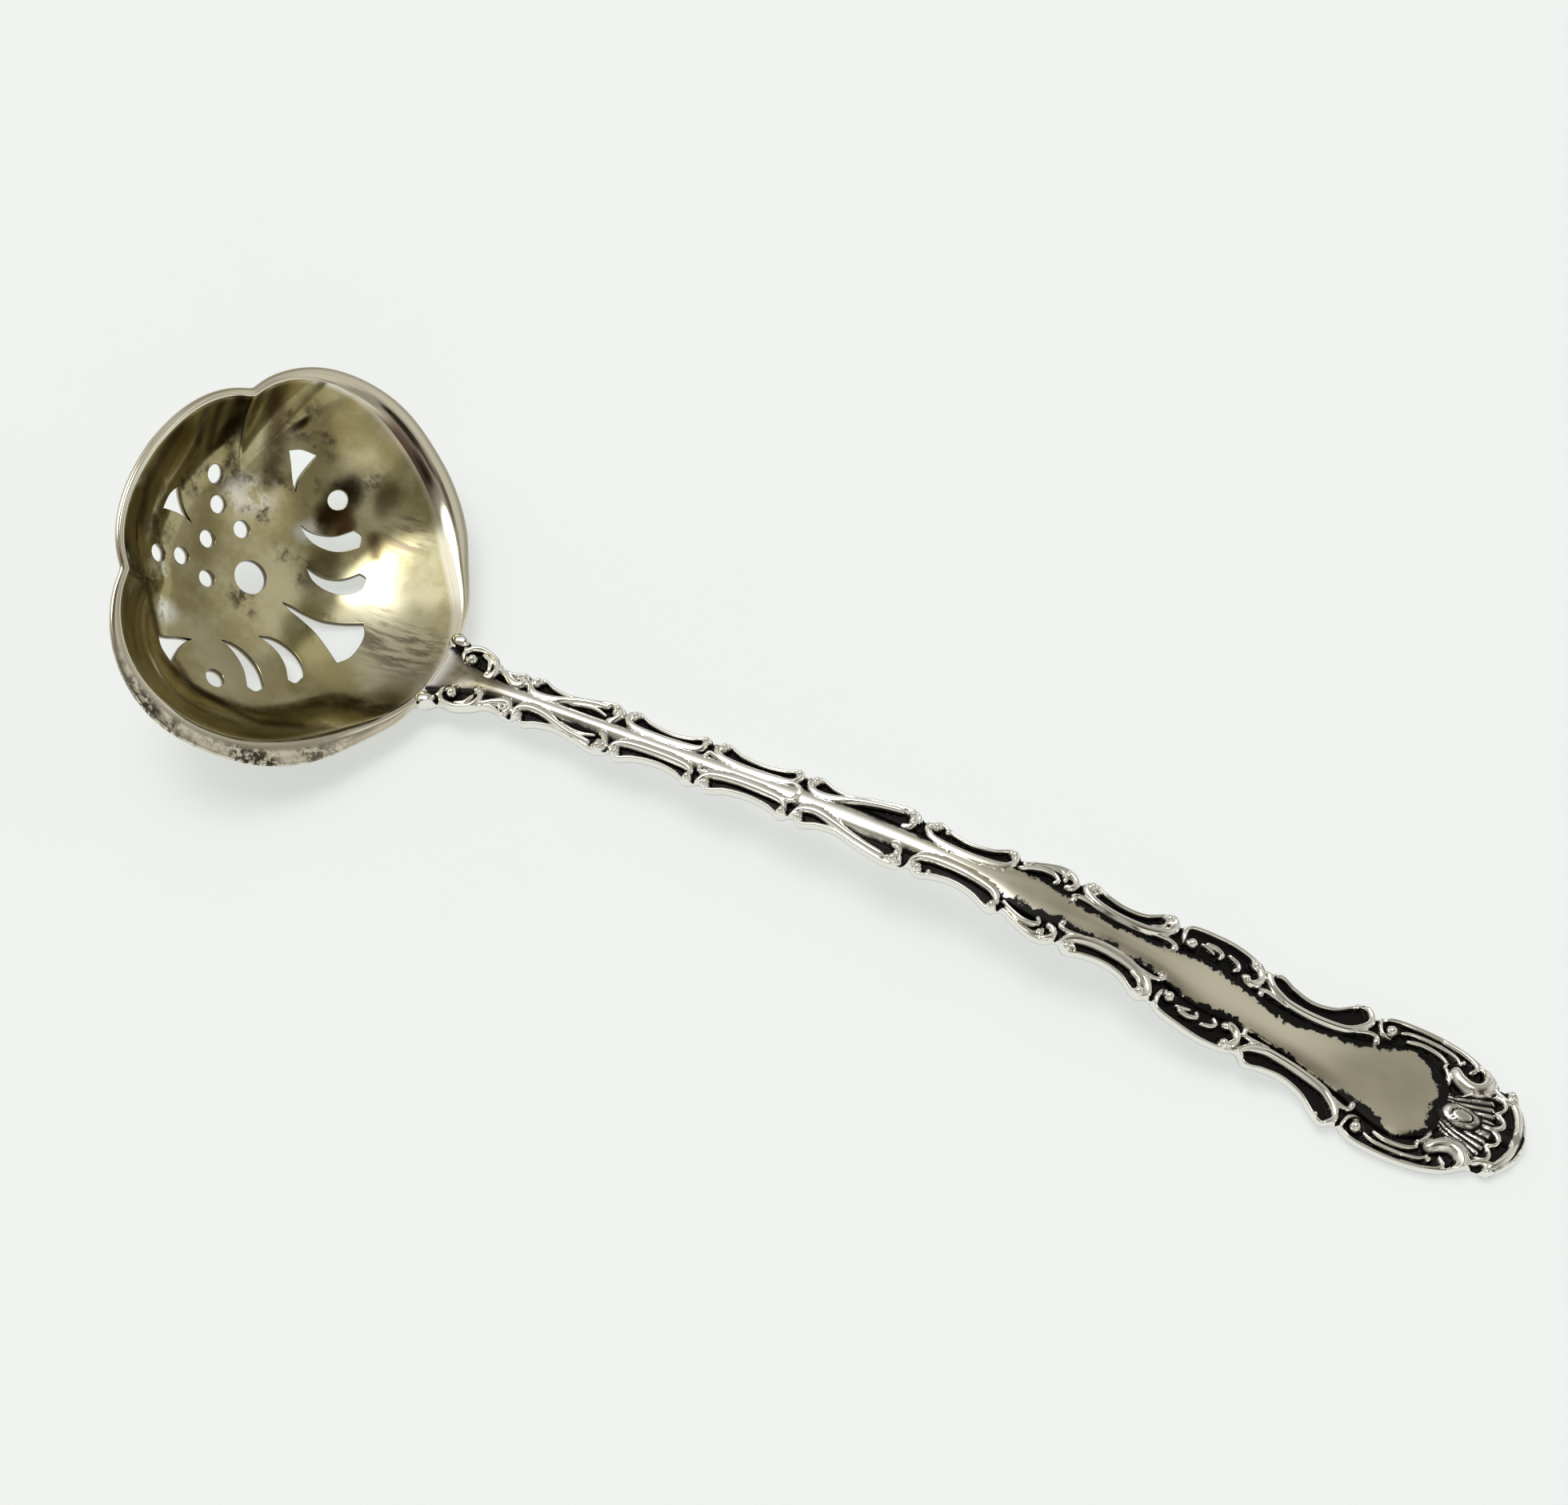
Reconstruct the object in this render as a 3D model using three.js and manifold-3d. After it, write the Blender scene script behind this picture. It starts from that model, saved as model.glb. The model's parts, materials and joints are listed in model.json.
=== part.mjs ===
// Pierced condiment ladle of antique silver, in millimetres with +Z up.
// A three-lobed pierced bowl, a struck scroll handle along +X that ends in a shell, and the fillet of hard
// solder between them. It lies on the underside of its bowl and on the underside of its handle's end.
import * as THREE from 'three';
import { mergeVertices } from 'three/addons/utils/BufferGeometryUtils.js';
import Module from 'manifold-3d';

const wasm = await Module();
wasm.setup();

// Bowl, measured from the axis and from the inner floor
const BOWL_RADIUS = 18.4;
const FRONT_RISE = 8.3;
const SIDE_RISE = 7.4;
const BACK_RISE = 11.0;
const NOTCH_DEPTH = 1.95;
const BOWL_WALL = 0.8;
const LIP_WIDTH = 2.6;
const LIP_LIFT = 1.0;
const LIP_THICKNESS = 0.6;

// Piercings
const CENTRE_HOLE_RADIUS = 1.74;
const SMALL_HOLE_RADIUS = 0.88;
const EYE_HOLE_RADIUS = 0.98;

// Handle, measured from the rim at the back of the bowl
const HANDLE_RUN = 92.6;
const HANDLE_RISE = 65.7;
const HANDLE_HALF_WIDTH = 7.0;
const ROOT_THICKNESS = 2.6;
const END_THICKNESS = 1.6;
const PANEL_CROWN = 0.4;
const VALLEY_DEPTH = 0.35;
const VALLEY_WIDTH = 0.3;
const EDGE_DROP = 0.6;
const STRAND_RADIUS = 0.42;
const BEAD_RADIUS = 0.5;
const VOLUTE_RADIUS = 0.75;
const BOSS_LENGTH = 3.1;
const BOSS_WIDTH = 1.8;
const BOSS_HEIGHT = 0.7;

// The joint between bowl and handle, and the faces that the ladle rests on
const SEAT_DEPTH = 1.0;
const SEAM_RADIUS = 1.2;
const CLEARANCE = 0.3;
const OVERRUN = 6;
const REST_FLAT_DEPTH = 0.12;
const MERGE_DISTANCE = 0.0001;

// Rim of the bowl by degrees from its front: reach before the notches, as shares of BOWL_RADIUS
const REACH_SHARES = [
  [0, 0.891], [45, 1], [75, 1.087], [110, 1.027], [140, 0.957], [165, 0.989], [180, 0.989],
];
// Height of the rim from side to back, as shares of the way from SIDE_RISE to BACK_RISE
const BACK_CLIMB_SHARES = [[92, 0], [118, 0.1], [140, 0.34], [152, 0.63], [165, 0.92], [180, 1]];
// Height of the rim from front to side, as shares of the way from FRONT_RISE to SIDE_RISE
const FRONT_FALL_SHARES = [[0, 0], [45, 0.33], [92, 1]];
// Width and lift of the turned-out lip, as shares of LIP_WIDTH and LIP_LIFT
const LIP_WIDTH_SHARES = [
  [0, 0.37], [55, 0.37], [72, 0.6], [90, 0.92], [105, 0.98], [130, 1], [142, 0.81], [150, 0.65], [158, 0.5],
  [164, 0.35], [180, 0.35],
];
const LIP_LIFT_SHARES = [
  [0, 0.1], [60, 0], [80, 0.25], [95, 0.7], [115, 0.8], [135, 1], [150, 0.7], [164, 0.3], [180, 0],
];
const NOTCH_TURN = 45;
const NOTCH_FRONT_SPREAD = 17;
const NOTCH_LOBE_SPREAD = 12;
// Inside of the bowl in section: two powers of the share of the reach, blended
const ROUND_POWER = 2.3;
const STEEP_POWER = 8;
const ROUND_SHARE = 0.72;
const LOBING_START_SHARE = 0.3;
const RING_SHARES = [0, 0.2, 0.38, 0.53, 0.66, 0.77, 0.86, 0.92, 0.965, 1];
const RIM_STEPS = 72;

// Piercings seen along the bowl's axis, in hundredths of BOWL_RADIUS: X to the back, Y to one side
const SMALL_HOLE_SHARES = [[-49.7, 29.1], [-38, 18.9], [-19.3, 18.1], [-31.5, 0]];
const EYE_HOLE_SHARES = [12.8, 65.5];
const FRONT_LEAF_SHARES = [
  [[-43.3, 0], [-50, 1.3], [-56, 4.2], [-62, 8.4]],
  [[-62, 8.4], [-63.6, 0], [-62, -8.4]],
  [[-62, -8.4], [-56, -4.2], [-50, -1.3], [-43.3, 0]],
];
const BACK_BELL_SHARES = [
  [[21.7, 0], [27.7, 1.4], [35.3, 2.1], [44.6, 4.1], [53.3, 8.4], [62.2, 14.4]],
  [[62.2, 14.4], [65.8, 8.2], [66.8, 0], [65.8, -8.2], [62.2, -14.4]],
  [[62.2, -14.4], [53.3, -8.4], [44.6, -4.1], [35.3, -2.1], [27.7, -1.4], [21.7, 0]],
];
const SIDE_LEAF_SHARES = [
  [[-8, 54.3], [-10.9, 59.8], [-11.7, 67.4], [-11.4, 76.1]],
  [[-11.4, 76.1], [-20.1, 72.8], [-25.3, 67.9]],
  [[-25.3, 67.9], [-19.6, 63.6], [-13.6, 58.2], [-8, 54.3]],
];
const LARGE_CRESCENT_SHARES = [
  [[5.2, 42.4], [11.7, 42.9], [18.5, 45.4], [24.5, 49.7], [29.9, 57.5]],
  [[29.9, 57.5], [34.5, 57.2], [37, 52.7]],
  [[37, 52.7], [36.7, 50.5], [32.1, 44.6], [26.1, 40.8], [17.9, 38.9], [10.9, 39.7], [5.2, 42.4]],
];
const BACK_CRESCENT_SHARES = [
  [[21.2, 25.8], [28.8, 25.8], [35.6, 27.7], [41.6, 32.1], [46.2, 39]],
  [[46.2, 39], [49.9, 38.6], [51.1, 34.8]],
  [[51.1, 34.8], [51.4, 31.5], [48.6, 26.4], [42.7, 22.3], [35.1, 20.7], [27.7, 21.7], [21.2, 25.8]],
];

// Centreline of the handle seen from the side, as shares of its run and rise
const CENTRELINE_SHARES = [
  [0, 0], [0.185, 0.246], [0.347, 0.457], [0.509, 0.625], [0.671, 0.749], [0.834, 0.837], [1, 1],
];
// Outline of the handle: hundredths of its length, hundredths of HANDLE_HALF_WIDTH
const OUTLINE_SHARES = [
  [-1.5, 67], [0, 67], [0.8, 66], [1.4, 57], [2, 53], [2.9, 54], [3.7, 50], [4.6, 43], [5.4, 34], [6.3, 33],
  [7.4, 38], [8.1, 36], [8.5, 31], [9.2, 39], [10.3, 33], [11.9, 29], [13.9, 34], [16.1, 41], [17, 37],
  [17.4, 31], [18.1, 40], [19.6, 32], [21.7, 27], [23.6, 31], [24.9, 39], [25.9, 31], [26.7, 39], [28.3, 31],
  [30.5, 28], [32.3, 32], [33.7, 39], [34.5, 31], [35.3, 39], [36.8, 32], [38.2, 30], [40.6, 39], [43.5, 46],
  [44.4, 43], [45.2, 35], [46, 43], [47.6, 36], [49.3, 33], [51, 38], [52.8, 49], [53.7, 41], [54.7, 47],
  [56.7, 58], [58, 56], [58.9, 47], [59.7, 56], [61.1, 50], [62.9, 46], [64.6, 50], [66.7, 67], [67.6, 60],
  [68.6, 69], [70.6, 75], [72.8, 77], [75, 71], [76.1, 64], [77, 73], [78.4, 67], [80.3, 63], [82.2, 71],
  [84.6, 95], [85.7, 86], [87, 96], [89.3, 100], [91.9, 98], [94.1, 90], [95.6, 77], [96.6, 66], [98, 64],
];
// Half width of the plain centre panel, in the same hundredths
const PANEL_SHARES = [
  [-1.5, 30], [2, 24], [5, 12], [9, 8], [30, 9], [40, 14], [45, 13], [50, 16], [56, 28], [61, 19], [67, 22],
  [71, 33], [76, 26], [80, 28], [84, 38], [90, 62], [92.5, 50], [94, 18], [98, 10],
];
const THICKNESS_SHARES = [[-1.5, 0], [8, 0.3], [30, 0.65], [60, 0.85], [98, 1]];
const TIP_BOW_START_SHARE = 90;
const TIP_BOW_SHARE = 2;
const LONGEST_ROW_STEP = 4;
const ROW_HUNDREDTHS = 100;

// Raised strands of the border, one side: thickness share of STRAND_RADIUS, then the places it runs through
const STRAND_SHARES = [
  [0.9, [[1.5, 42], [1.9, 49], [2.7, 52], [3.7, 49], [4.4, 42], [4.8, 30], [4.7, 18], [4.3, 14]]],
  [0.9, [[5.2, 31], [6.1, 22], [6.9, 17], [7.5, 18], [7.7, 26], [7.5, 33]]],
  [0.9, [[8.3, 31], [8.3, 22], [8.7, 15], [9.6, 12], [10.8, 14], [12.2, 21], [13.6, 28], [15.5, 32]]],
  [0.85, [[16.1, 35], [16.8, 31], [16.9, 24], [16.6, 16], [16.2, 12]]],
  [0.95, [[17.7, 34], [17.7, 24], [18.2, 17], [19.3, 13], [21.7, 12], [23.8, 14], [24.8, 19], [24.9, 30]]],
  [0.95, [[25.9, 32], [26.2, 22], [27, 15], [29, 11], [31.5, 12], [33.2, 16], [33.8, 28]]],
  [0.95, [[34.6, 30], [34.9, 20], [35.7, 14], [36.7, 14], [38.1, 20], [39.6, 27], [41.2, 33], [42.8, 37]]],
  [0.85, [[43.3, 38], [43.9, 33], [44.1, 26], [43.9, 19], [43.4, 17]]],
  [0.95, [
    [45.3, 34], [45.4, 25], [46.1, 17], [47.4, 13], [49.2, 12], [51, 15], [52.4, 21], [53, 32], [52.9, 41],
  ]],
  [0.85, [[53.8, 40], [54.7, 47], [55.8, 52], [56.8, 53], [57.3, 48], [57.4, 42]]],
  [0.9, [[57.6, 54], [58.2, 48], [58.4, 41], [58.1, 34], [57.7, 32]]],
  [1, [
    [59.2, 51], [59.4, 41], [60.2, 32], [61.6, 27], [63.2, 26], [65, 29], [66.4, 37], [67.1, 48], [67, 60],
  ]],
  [0.8, [[68.2, 62], [68.1, 54], [68.2, 46], [68.5, 40]]],
  [0.85, [[68.5, 60], [69.5, 66], [71, 71], [72.8, 72], [74, 67], [74.5, 58]]],
  [1, [[74.5, 67], [75.2, 59], [75.4, 49], [75.1, 40], [74.5, 37]]],
  [0.95, [
    [76, 69], [76.1, 60], [76.7, 50], [78, 44], [80, 41], [82, 43], [83.8, 51], [85, 66], [85.3, 80],
    [84.8, 92],
  ]],
  [0.8, [[77.1, 60], [77.6, 54], [78.8, 50], [80.4, 48], [82, 51], [83.2, 58], [84, 68], [84.2, 79]]],
  [0.8, [[77.4, 68], [78.8, 61], [80.4, 58], [82, 64], [83.2, 78]]],
  [0.85, [[86.4, 91], [88, 95], [90, 96], [92, 95], [93.8, 90], [94.7, 82], [94.8, 74], [94.4, 67]]],
  [1.2, [[95.1, 85], [95.7, 77], [95.9, 67], [95.6, 56], [94.8, 49], [94.1, 52]]],
  [0.8, [[96.5, 60], [97, 53], [97.8, 48], [98.3, 46]]],
  [0.8, [[97.5, 39], [97.8, 31], [97.8, 23], [98, 15], [98.4, 7], [98.5, 0]]],
  [0.9, [[98.2, 52], [98.8, 40], [99.2, 26], [99.4, 12], [99.45, 0]]],
];
// Beads of the border, one side: share of BEAD_RADIUS, place along, place across
const BEAD_SHARES = [
  [1.2, 0, 56], [1.3, 2.3, 31], [0.9, 7.5, 27], [0.9, 8.8, 29], [0.9, 16.5, 27], [0.9, 18.2, 30],
  [0.8, 24.9, 29], [0.8, 26.6, 30], [0.8, 33.6, 30], [0.9, 35.1, 28], [0.9, 52.7, 40], [0.9, 59.6, 51],
  [1.2, 69, 44], [0.9, 74.3, 40], [0.8, 76.3, 67], [1.25, 87.2, 77], [0.9, 94.7, 25], [1.1, 98.1, 60],
];
const VOLUTE_SHARES = [94.5, 54];
const BOSS_SHARE = 94.5;
const STRAND_SINK_SHARE = 0.1;
const STRAND_END_SHARE = 0.55;
const STRAND_SIDES = 3;
const STEPS_PER_POINT = 1;
const BEAD_SIDES = 5;
const BEAD_RINGS = 3;
const HOLE_CURVE_STEPS = 2;
const ROUND_HOLE_STEPS = 6;
const SEAM_SPREAD_SHARE = 0.72;
const SEAM_STEPS = 8;
const SEAM_SIDES = 5;
const BISECTIONS = 40;
const HALF_TURN = 180;

// A closed geometry as a solid, and back
function solidFrom(geometry) {
  const bare = new THREE.BufferGeometry();
  bare.setAttribute('position', geometry.getAttribute('position').clone());
  const source = geometry.getIndex();
  if (source) bare.setIndex(source.clone());
  const merged = mergeVertices(bare, MERGE_DISTANCE);
  const index = merged.getIndex().array;
  const corners = [];
  for (let i = 0; i < index.length; i += 3) {
    const [a, b, c] = [index[i], index[i + 1], index[i + 2]];
    if (a !== b && b !== c && c !== a) corners.push(a, b, c);
  }
  return new wasm.Manifold(new wasm.Mesh({
    numProp: 3,
    vertProperties: new Float32Array(merged.getAttribute('position').array),
    triVerts: new Uint32Array(corners),
  }));
}

function geometryFrom(solid) {
  const mesh = solid.getMesh();
  const geometry = new THREE.BufferGeometry();
  geometry.setAttribute('position', new THREE.BufferAttribute(mesh.vertProperties, 3));
  geometry.setIndex(new THREE.BufferAttribute(mesh.triVerts, 1));
  return geometry;
}

// Moves every vertex of a unit shape to the place that a function gives for it
function shaped(geometry, place) {
  const position = geometry.getAttribute('position');
  const vertex = new THREE.Vector3();
  for (let i = 0; i < position.count; i += 1) {
    place(vertex.fromBufferAttribute(position, i));
    position.setXYZ(i, vertex.x, vertex.y, vertex.z);
  }
  return geometry;
}

// A smooth function through pairs of place and value, level at both ends
function smooth(pairs) {
  const track = new THREE.CubicInterpolant(pairs.map((pair) => pair[0]), pairs.map((pair) => pair[1]), 1);
  track.settings = { endingStart: THREE.ZeroSlopeEnding, endingEnd: THREE.ZeroSlopeEnding };
  return (place) => track.evaluate(place)[0];
}

// Root of a rising function between two places
function crossing(rising, low, high) {
  for (let i = 0; i < BISECTIONS; i += 1) {
    const middle = (low + high) / 2;
    if (rising(middle) < 0) low = middle;
    else high = middle;
  }
  return (low + high) / 2;
}

// Bowl surfaces
const reachShare = smooth(REACH_SHARES);
const backClimb = smooth(BACK_CLIMB_SHARES);
const frontFall = smooth(FRONT_FALL_SHARES);
const lipWidthShare = smooth(LIP_WIDTH_SHARES);
const lipLiftShare = smooth(LIP_LIFT_SHARES);
const SIDE_TURN = BACK_CLIMB_SHARES[0][0];

function notch(degrees) {
  const past = degrees - NOTCH_TURN;
  const spread = past < 0 ? NOTCH_FRONT_SPREAD : NOTCH_LOBE_SPREAD;
  return NOTCH_DEPTH * Math.exp(-Math.abs(past) / spread);
}

function rimRise(degrees) {
  if (degrees < SIDE_TURN) return THREE.MathUtils.lerp(FRONT_RISE, SIDE_RISE, frontFall(degrees));
  return THREE.MathUtils.lerp(SIDE_RISE, BACK_RISE, backClimb(degrees));
}

// A point on the inside, at a share of the reach and a signed turn in degrees from the front
function insidePoint(share, turn) {
  const degrees = Math.abs(turn);
  const lobed = BOWL_RADIUS * reachShare(degrees) - notch(degrees);
  const lobing = THREE.MathUtils.smoothstep(share, LOBING_START_SHARE, 1);
  const reach = THREE.MathUtils.lerp(BOWL_RADIUS, lobed, lobing);
  const section = ROUND_SHARE * share ** ROUND_POWER + (1 - ROUND_SHARE) * share ** STEEP_POWER;
  const angle = THREE.MathUtils.degToRad(turn);
  return new THREE.Vector3(
    -Math.cos(angle) * share * reach, Math.sin(angle) * share * reach, rimRise(degrees) * section,
  );
}

// A point a set distance outside that surface, square to it
function offsetPoint(share, turn, distance) {
  const here = insidePoint(share, turn);
  if (share === 0) return here.setZ(here.z - distance);
  const small = 1 / ROW_HUNDREDTHS;
  const along = insidePoint(share, turn + 1).sub(insidePoint(share, turn - 1));
  const upward = insidePoint(share + small, turn).sub(insidePoint(share - small, turn));
  return here.add(upward.cross(along).setLength(distance));
}

// Plan direction in which the lip is turned out, square to the outline without its notches
function lipDirection(turn) {
  const at = (degrees) => {
    const angle = THREE.MathUtils.degToRad(degrees);
    const reach = reachShare(Math.abs(degrees));
    return new THREE.Vector3(-Math.cos(angle) * reach, Math.sin(angle) * reach, 0);
  };
  const along = at(turn + 1).sub(at(turn - 1));
  return new THREE.Vector3(along.y, -along.x, 0).negate().normalize();
}

// The outer edge of the lip at one turn, its upper corner and its lower one
function lipPoints(turn) {
  const degrees = Math.abs(turn);
  const crease = insidePoint(1, turn);
  const width = LIP_WIDTH * lipWidthShare(degrees);
  const above = crease.clone().addScaledVector(lipDirection(turn), width);
  above.z += LIP_LIFT * lipLiftShare(degrees);
  const below = above.clone();
  below.z -= LIP_THICKNESS;
  return [above, below];
}

// A revolve whose profile is a list of functions of the turn, each giving one ring
function revolved(rings) {
  const profile = rings.map((_, i) => new THREE.Vector2(i === 0 || i === rings.length - 1 ? 0 : 1, i));
  return shaped(new THREE.LatheGeometry(profile, RIM_STEPS), (vertex) => {
    const ring = Math.round(vertex.y);
    const steps = Math.round(Math.atan2(vertex.x, vertex.z) * RIM_STEPS / (2 * Math.PI));
    vertex.copy(rings[ring](steps * 2 * HALF_TURN / RIM_STEPS));
  });
}

function filledBowl(distance, ceiling) {
  const top = (turn) => offsetPoint(1, turn, distance).setZ(ceiling);
  const rings = RING_SHARES.map((share) => (turn) => offsetPoint(share, turn, distance));
  return solidFrom(revolved([() => new THREE.Vector3(0, 0, ceiling), top, ...rings.reverse()]));
}

// Piercings
function piercing(edges, side) {
  const unit = BOWL_RADIUS / ROW_HUNDREDTHS;
  const corner = ([x, y]) => new THREE.Vector2(x * unit, y * unit * side);
  const shape = new THREE.Shape();
  shape.moveTo(...corner(edges[0][0]).toArray());
  for (const edge of edges) shape.splineThru(edge.slice(1).map(corner));
  return shape;
}

function roundHole([x, y], radius, side) {
  const unit = BOWL_RADIUS / ROW_HUNDREDTHS;
  const shape = new THREE.Shape();
  shape.absarc(x * unit, y * unit * side, radius, 0, 2 * Math.PI, false);
  return shape;
}

function cutter(shape, curveSegments) {
  const depth = SIDE_RISE + 2 * BOWL_WALL;
  const geometry = new THREE.ExtrudeGeometry(shape, { depth, curveSegments, bevelEnabled: false });
  return solidFrom(geometry.translate(0, 0, -2 * BOWL_WALL));
}

function piercings() {
  const cuts = [
    cutter(roundHole([0, 0], CENTRE_HOLE_RADIUS, 1), ROUND_HOLE_STEPS),
    cutter(piercing(FRONT_LEAF_SHARES, 1), HOLE_CURVE_STEPS),
    cutter(piercing(BACK_BELL_SHARES, 1), HOLE_CURVE_STEPS),
  ];
  for (const side of [1, -1]) {
    const places = SMALL_HOLE_SHARES.filter(([, across]) => across !== 0 || side > 0);
    for (const place of places) {
      cuts.push(cutter(roundHole(place, SMALL_HOLE_RADIUS, side), ROUND_HOLE_STEPS));
    }
    cuts.push(cutter(roundHole(EYE_HOLE_SHARES, EYE_HOLE_RADIUS, side), ROUND_HOLE_STEPS));
    cuts.push(cutter(piercing(SIDE_LEAF_SHARES, side), HOLE_CURVE_STEPS));
    cuts.push(cutter(piercing(LARGE_CRESCENT_SHARES, side), HOLE_CURVE_STEPS));
    cuts.push(cutter(piercing(BACK_CRESCENT_SHARES, side), HOLE_CURVE_STEPS));
  }
  return cuts;
}

// Handle: its centreline, and a place on it by hundredths along, distance across and height above
const rootPoint = insidePoint(1, HALF_TURN);
const centreline = new THREE.SplineCurve(CENTRELINE_SHARES.map(([run, rise]) => new THREE.Vector2(
  rootPoint.x + HANDLE_RUN * run, rootPoint.z + HANDLE_RISE * rise,
)));
const outline = smooth(OUTLINE_SHARES);
const panelWidth = smooth(PANEL_SHARES);
const thinning = smooth(THICKNESS_SHARES);
const FIRST_ROW = OUTLINE_SHARES[0][0];
const LAST_ROW = OUTLINE_SHARES[OUTLINE_SHARES.length - 1][0];

function handlePlace(row, across, height) {
  const share = THREE.MathUtils.clamp(row / ROW_HUNDREDTHS, 0, 1);
  const point = centreline.getPointAt(share);
  const heading = centreline.getTangentAt(share);
  point.addScaledVector(heading, (row / ROW_HUNDREDTHS - share) * centreline.getLength());
  return new THREE.Vector3(point.x - heading.y * height, across, point.y + heading.x * height);
}

function halfWidth(row) {
  return HANDLE_HALF_WIDTH * outline(Math.min(row, LAST_ROW)) / ROW_HUNDREDTHS;
}

function thickness(row) {
  const held = THREE.MathUtils.clamp(row, FIRST_ROW, LAST_ROW);
  return THREE.MathUtils.lerp(ROOT_THICKNESS, END_THICKNESS, thinning(held));
}

// Columns across the handle from the centre out, as pairs of distance and height
function columns(row) {
  const edge = halfWidth(row);
  const panel = Math.min(HANDLE_HALF_WIDTH * panelWidth(row) / ROW_HUNDREDTHS, edge - 2 * VALLEY_WIDTH);
  return [
    [0, PANEL_CROWN], [panel, 0], [panel + VALLEY_WIDTH, -VALLEY_DEPTH], [edge, -EDGE_DROP],
  ];
}

// Height of the top face beside the panel, where the strands lie
function topHeight(row, across) {
  const profile = columns(Math.min(row, LAST_ROW));
  for (let i = 1; i < profile.length; i += 1) {
    const [[from, low], [to, high]] = [profile[i - 1], profile[i]];
    if (across <= to) return THREE.MathUtils.mapLinear(across, from, to, low, high);
  }
  return -EDGE_DROP;
}

function bodyRows() {
  const rows = [FIRST_ROW];
  for (const [row] of OUTLINE_SHARES.slice(1)) {
    const from = rows[rows.length - 1];
    const pieces = Math.ceil((row - from) / LONGEST_ROW_STEP);
    for (let i = 1; i <= pieces; i += 1) rows.push(THREE.MathUtils.lerp(from, row, i / pieces));
  }
  return rows;
}

// The struck strip without its ornament, grown on every side by a margin
function handleBody(margin) {
  const rows = bodyRows();
  const halfCount = columns(0).length - 1;
  const box = new THREE.BoxGeometry(1, 1, 1, rows.length - 1, 2 * halfCount, 1);
  return solidFrom(shaped(box, (vertex) => {
    const row = rows[Math.round((vertex.x + 1 / 2) * (rows.length - 1))];
    const column = Math.round((vertex.y + 1 / 2) * 2 * halfCount) - halfCount;
    const [across, height] = columns(row)[Math.abs(column)];
    const spread = across * (halfWidth(row) + margin) / halfWidth(row);
    const bow = TIP_BOW_SHARE * (1 - (across / halfWidth(row)) ** 2);
    const along = row + bow * THREE.MathUtils.smoothstep(row, TIP_BOW_START_SHARE, LAST_ROW);
    const level = vertex.z > 0 ? height + margin : -thickness(row) - margin;
    vertex.copy(handlePlace(along, Math.sign(column) * spread, level));
  }));
}

// A strand of the border: a tapered tube, half sunk in the top face, on one side of the handle
function strand([size, places], side) {
  const unit = HANDLE_HALF_WIDTH / ROW_HUNDREDTHS;
  const flat = new THREE.SplineCurve(places.map(([row, across]) => new THREE.Vector2(row, across)));
  const steps = (places.length - 1) * STEPS_PER_POINT;
  const radius = STRAND_RADIUS * size;
  const centre = (share) => {
    const spot = flat.getPoint(share);
    const height = topHeight(spot.x, spot.y * unit) + radius * STRAND_SINK_SHARE;
    return handlePlace(spot.x, spot.y * unit * side, height);
  };
  const tube = new THREE.CylinderGeometry(1, 1, 1, STRAND_SIDES, steps);
  return solidFrom(shaped(tube, (vertex) => {
    const share = vertex.y + 1 / 2;
    const small = 1 / ROW_HUNDREDTHS;
    const ahead = centre(Math.min(share + small, 1));
    const heading = ahead.sub(centre(Math.max(share - small, 0))).normalize();
    const spot = flat.getPoint(share);
    const up = handlePlace(spot.x, 0, 1).sub(handlePlace(spot.x, 0, 0));
    const out = heading.clone().cross(up).normalize();
    const swell = THREE.MathUtils.lerp(STRAND_END_SHARE, 1, Math.sin(share * Math.PI));
    const [sideways, upward] = [vertex.x * radius * swell, vertex.z * radius * swell];
    vertex.copy(centre(share)).addScaledVector(out, sideways).addScaledVector(up, upward);
  }));
}

// A rounded boss of given half sizes along, across and up
function bead(row, across, along, width, height) {
  const ball = new THREE.SphereGeometry(1, BEAD_SIDES, BEAD_RINGS);
  const share = along / centreline.getLength() * ROW_HUNDREDTHS;
  const base = topHeight(row, Math.abs(across));
  return solidFrom(shaped(ball, (vertex) => {
    const [forward, upward, sideways] = [vertex.x * share, vertex.y * height, vertex.z * width];
    vertex.copy(handlePlace(row + forward, across - sideways, base + upward));
  }));
}

function ornament() {
  const unit = HANDLE_HALF_WIDTH / ROW_HUNDREDTHS;
  const pieces = [bead(BOSS_SHARE, 0, BOSS_LENGTH / 2, BOSS_WIDTH / 2, BOSS_HEIGHT)];
  for (const side of [1, -1]) {
    for (const entry of STRAND_SHARES) pieces.push(strand(entry, side));
    for (const [size, row, across] of BEAD_SHARES) {
      const radius = BEAD_RADIUS * size;
      pieces.push(bead(row, across * unit * side, radius, radius, radius));
    }
    const [row, across] = VOLUTE_SHARES;
    pieces.push(bead(row, across * unit * side, VOLUTE_RADIUS, VOLUTE_RADIUS, VOLUTE_RADIUS));
  }
  return pieces;
}

// The seat that the handle's root drops into at the back of the rim
const SEAT_HEIGHT = rootPoint.z - SEAT_DEPTH;
const ROOF = BACK_RISE + OVERRUN;

function seatBlock(halfAcross, floor, ceiling) {
  const block = new THREE.BoxGeometry(2 * OVERRUN, 2 * halfAcross, ceiling - floor);
  return solidFrom(block.translate(rootPoint.x + OVERRUN / 2, 0, (floor + ceiling) / 2));
}

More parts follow.
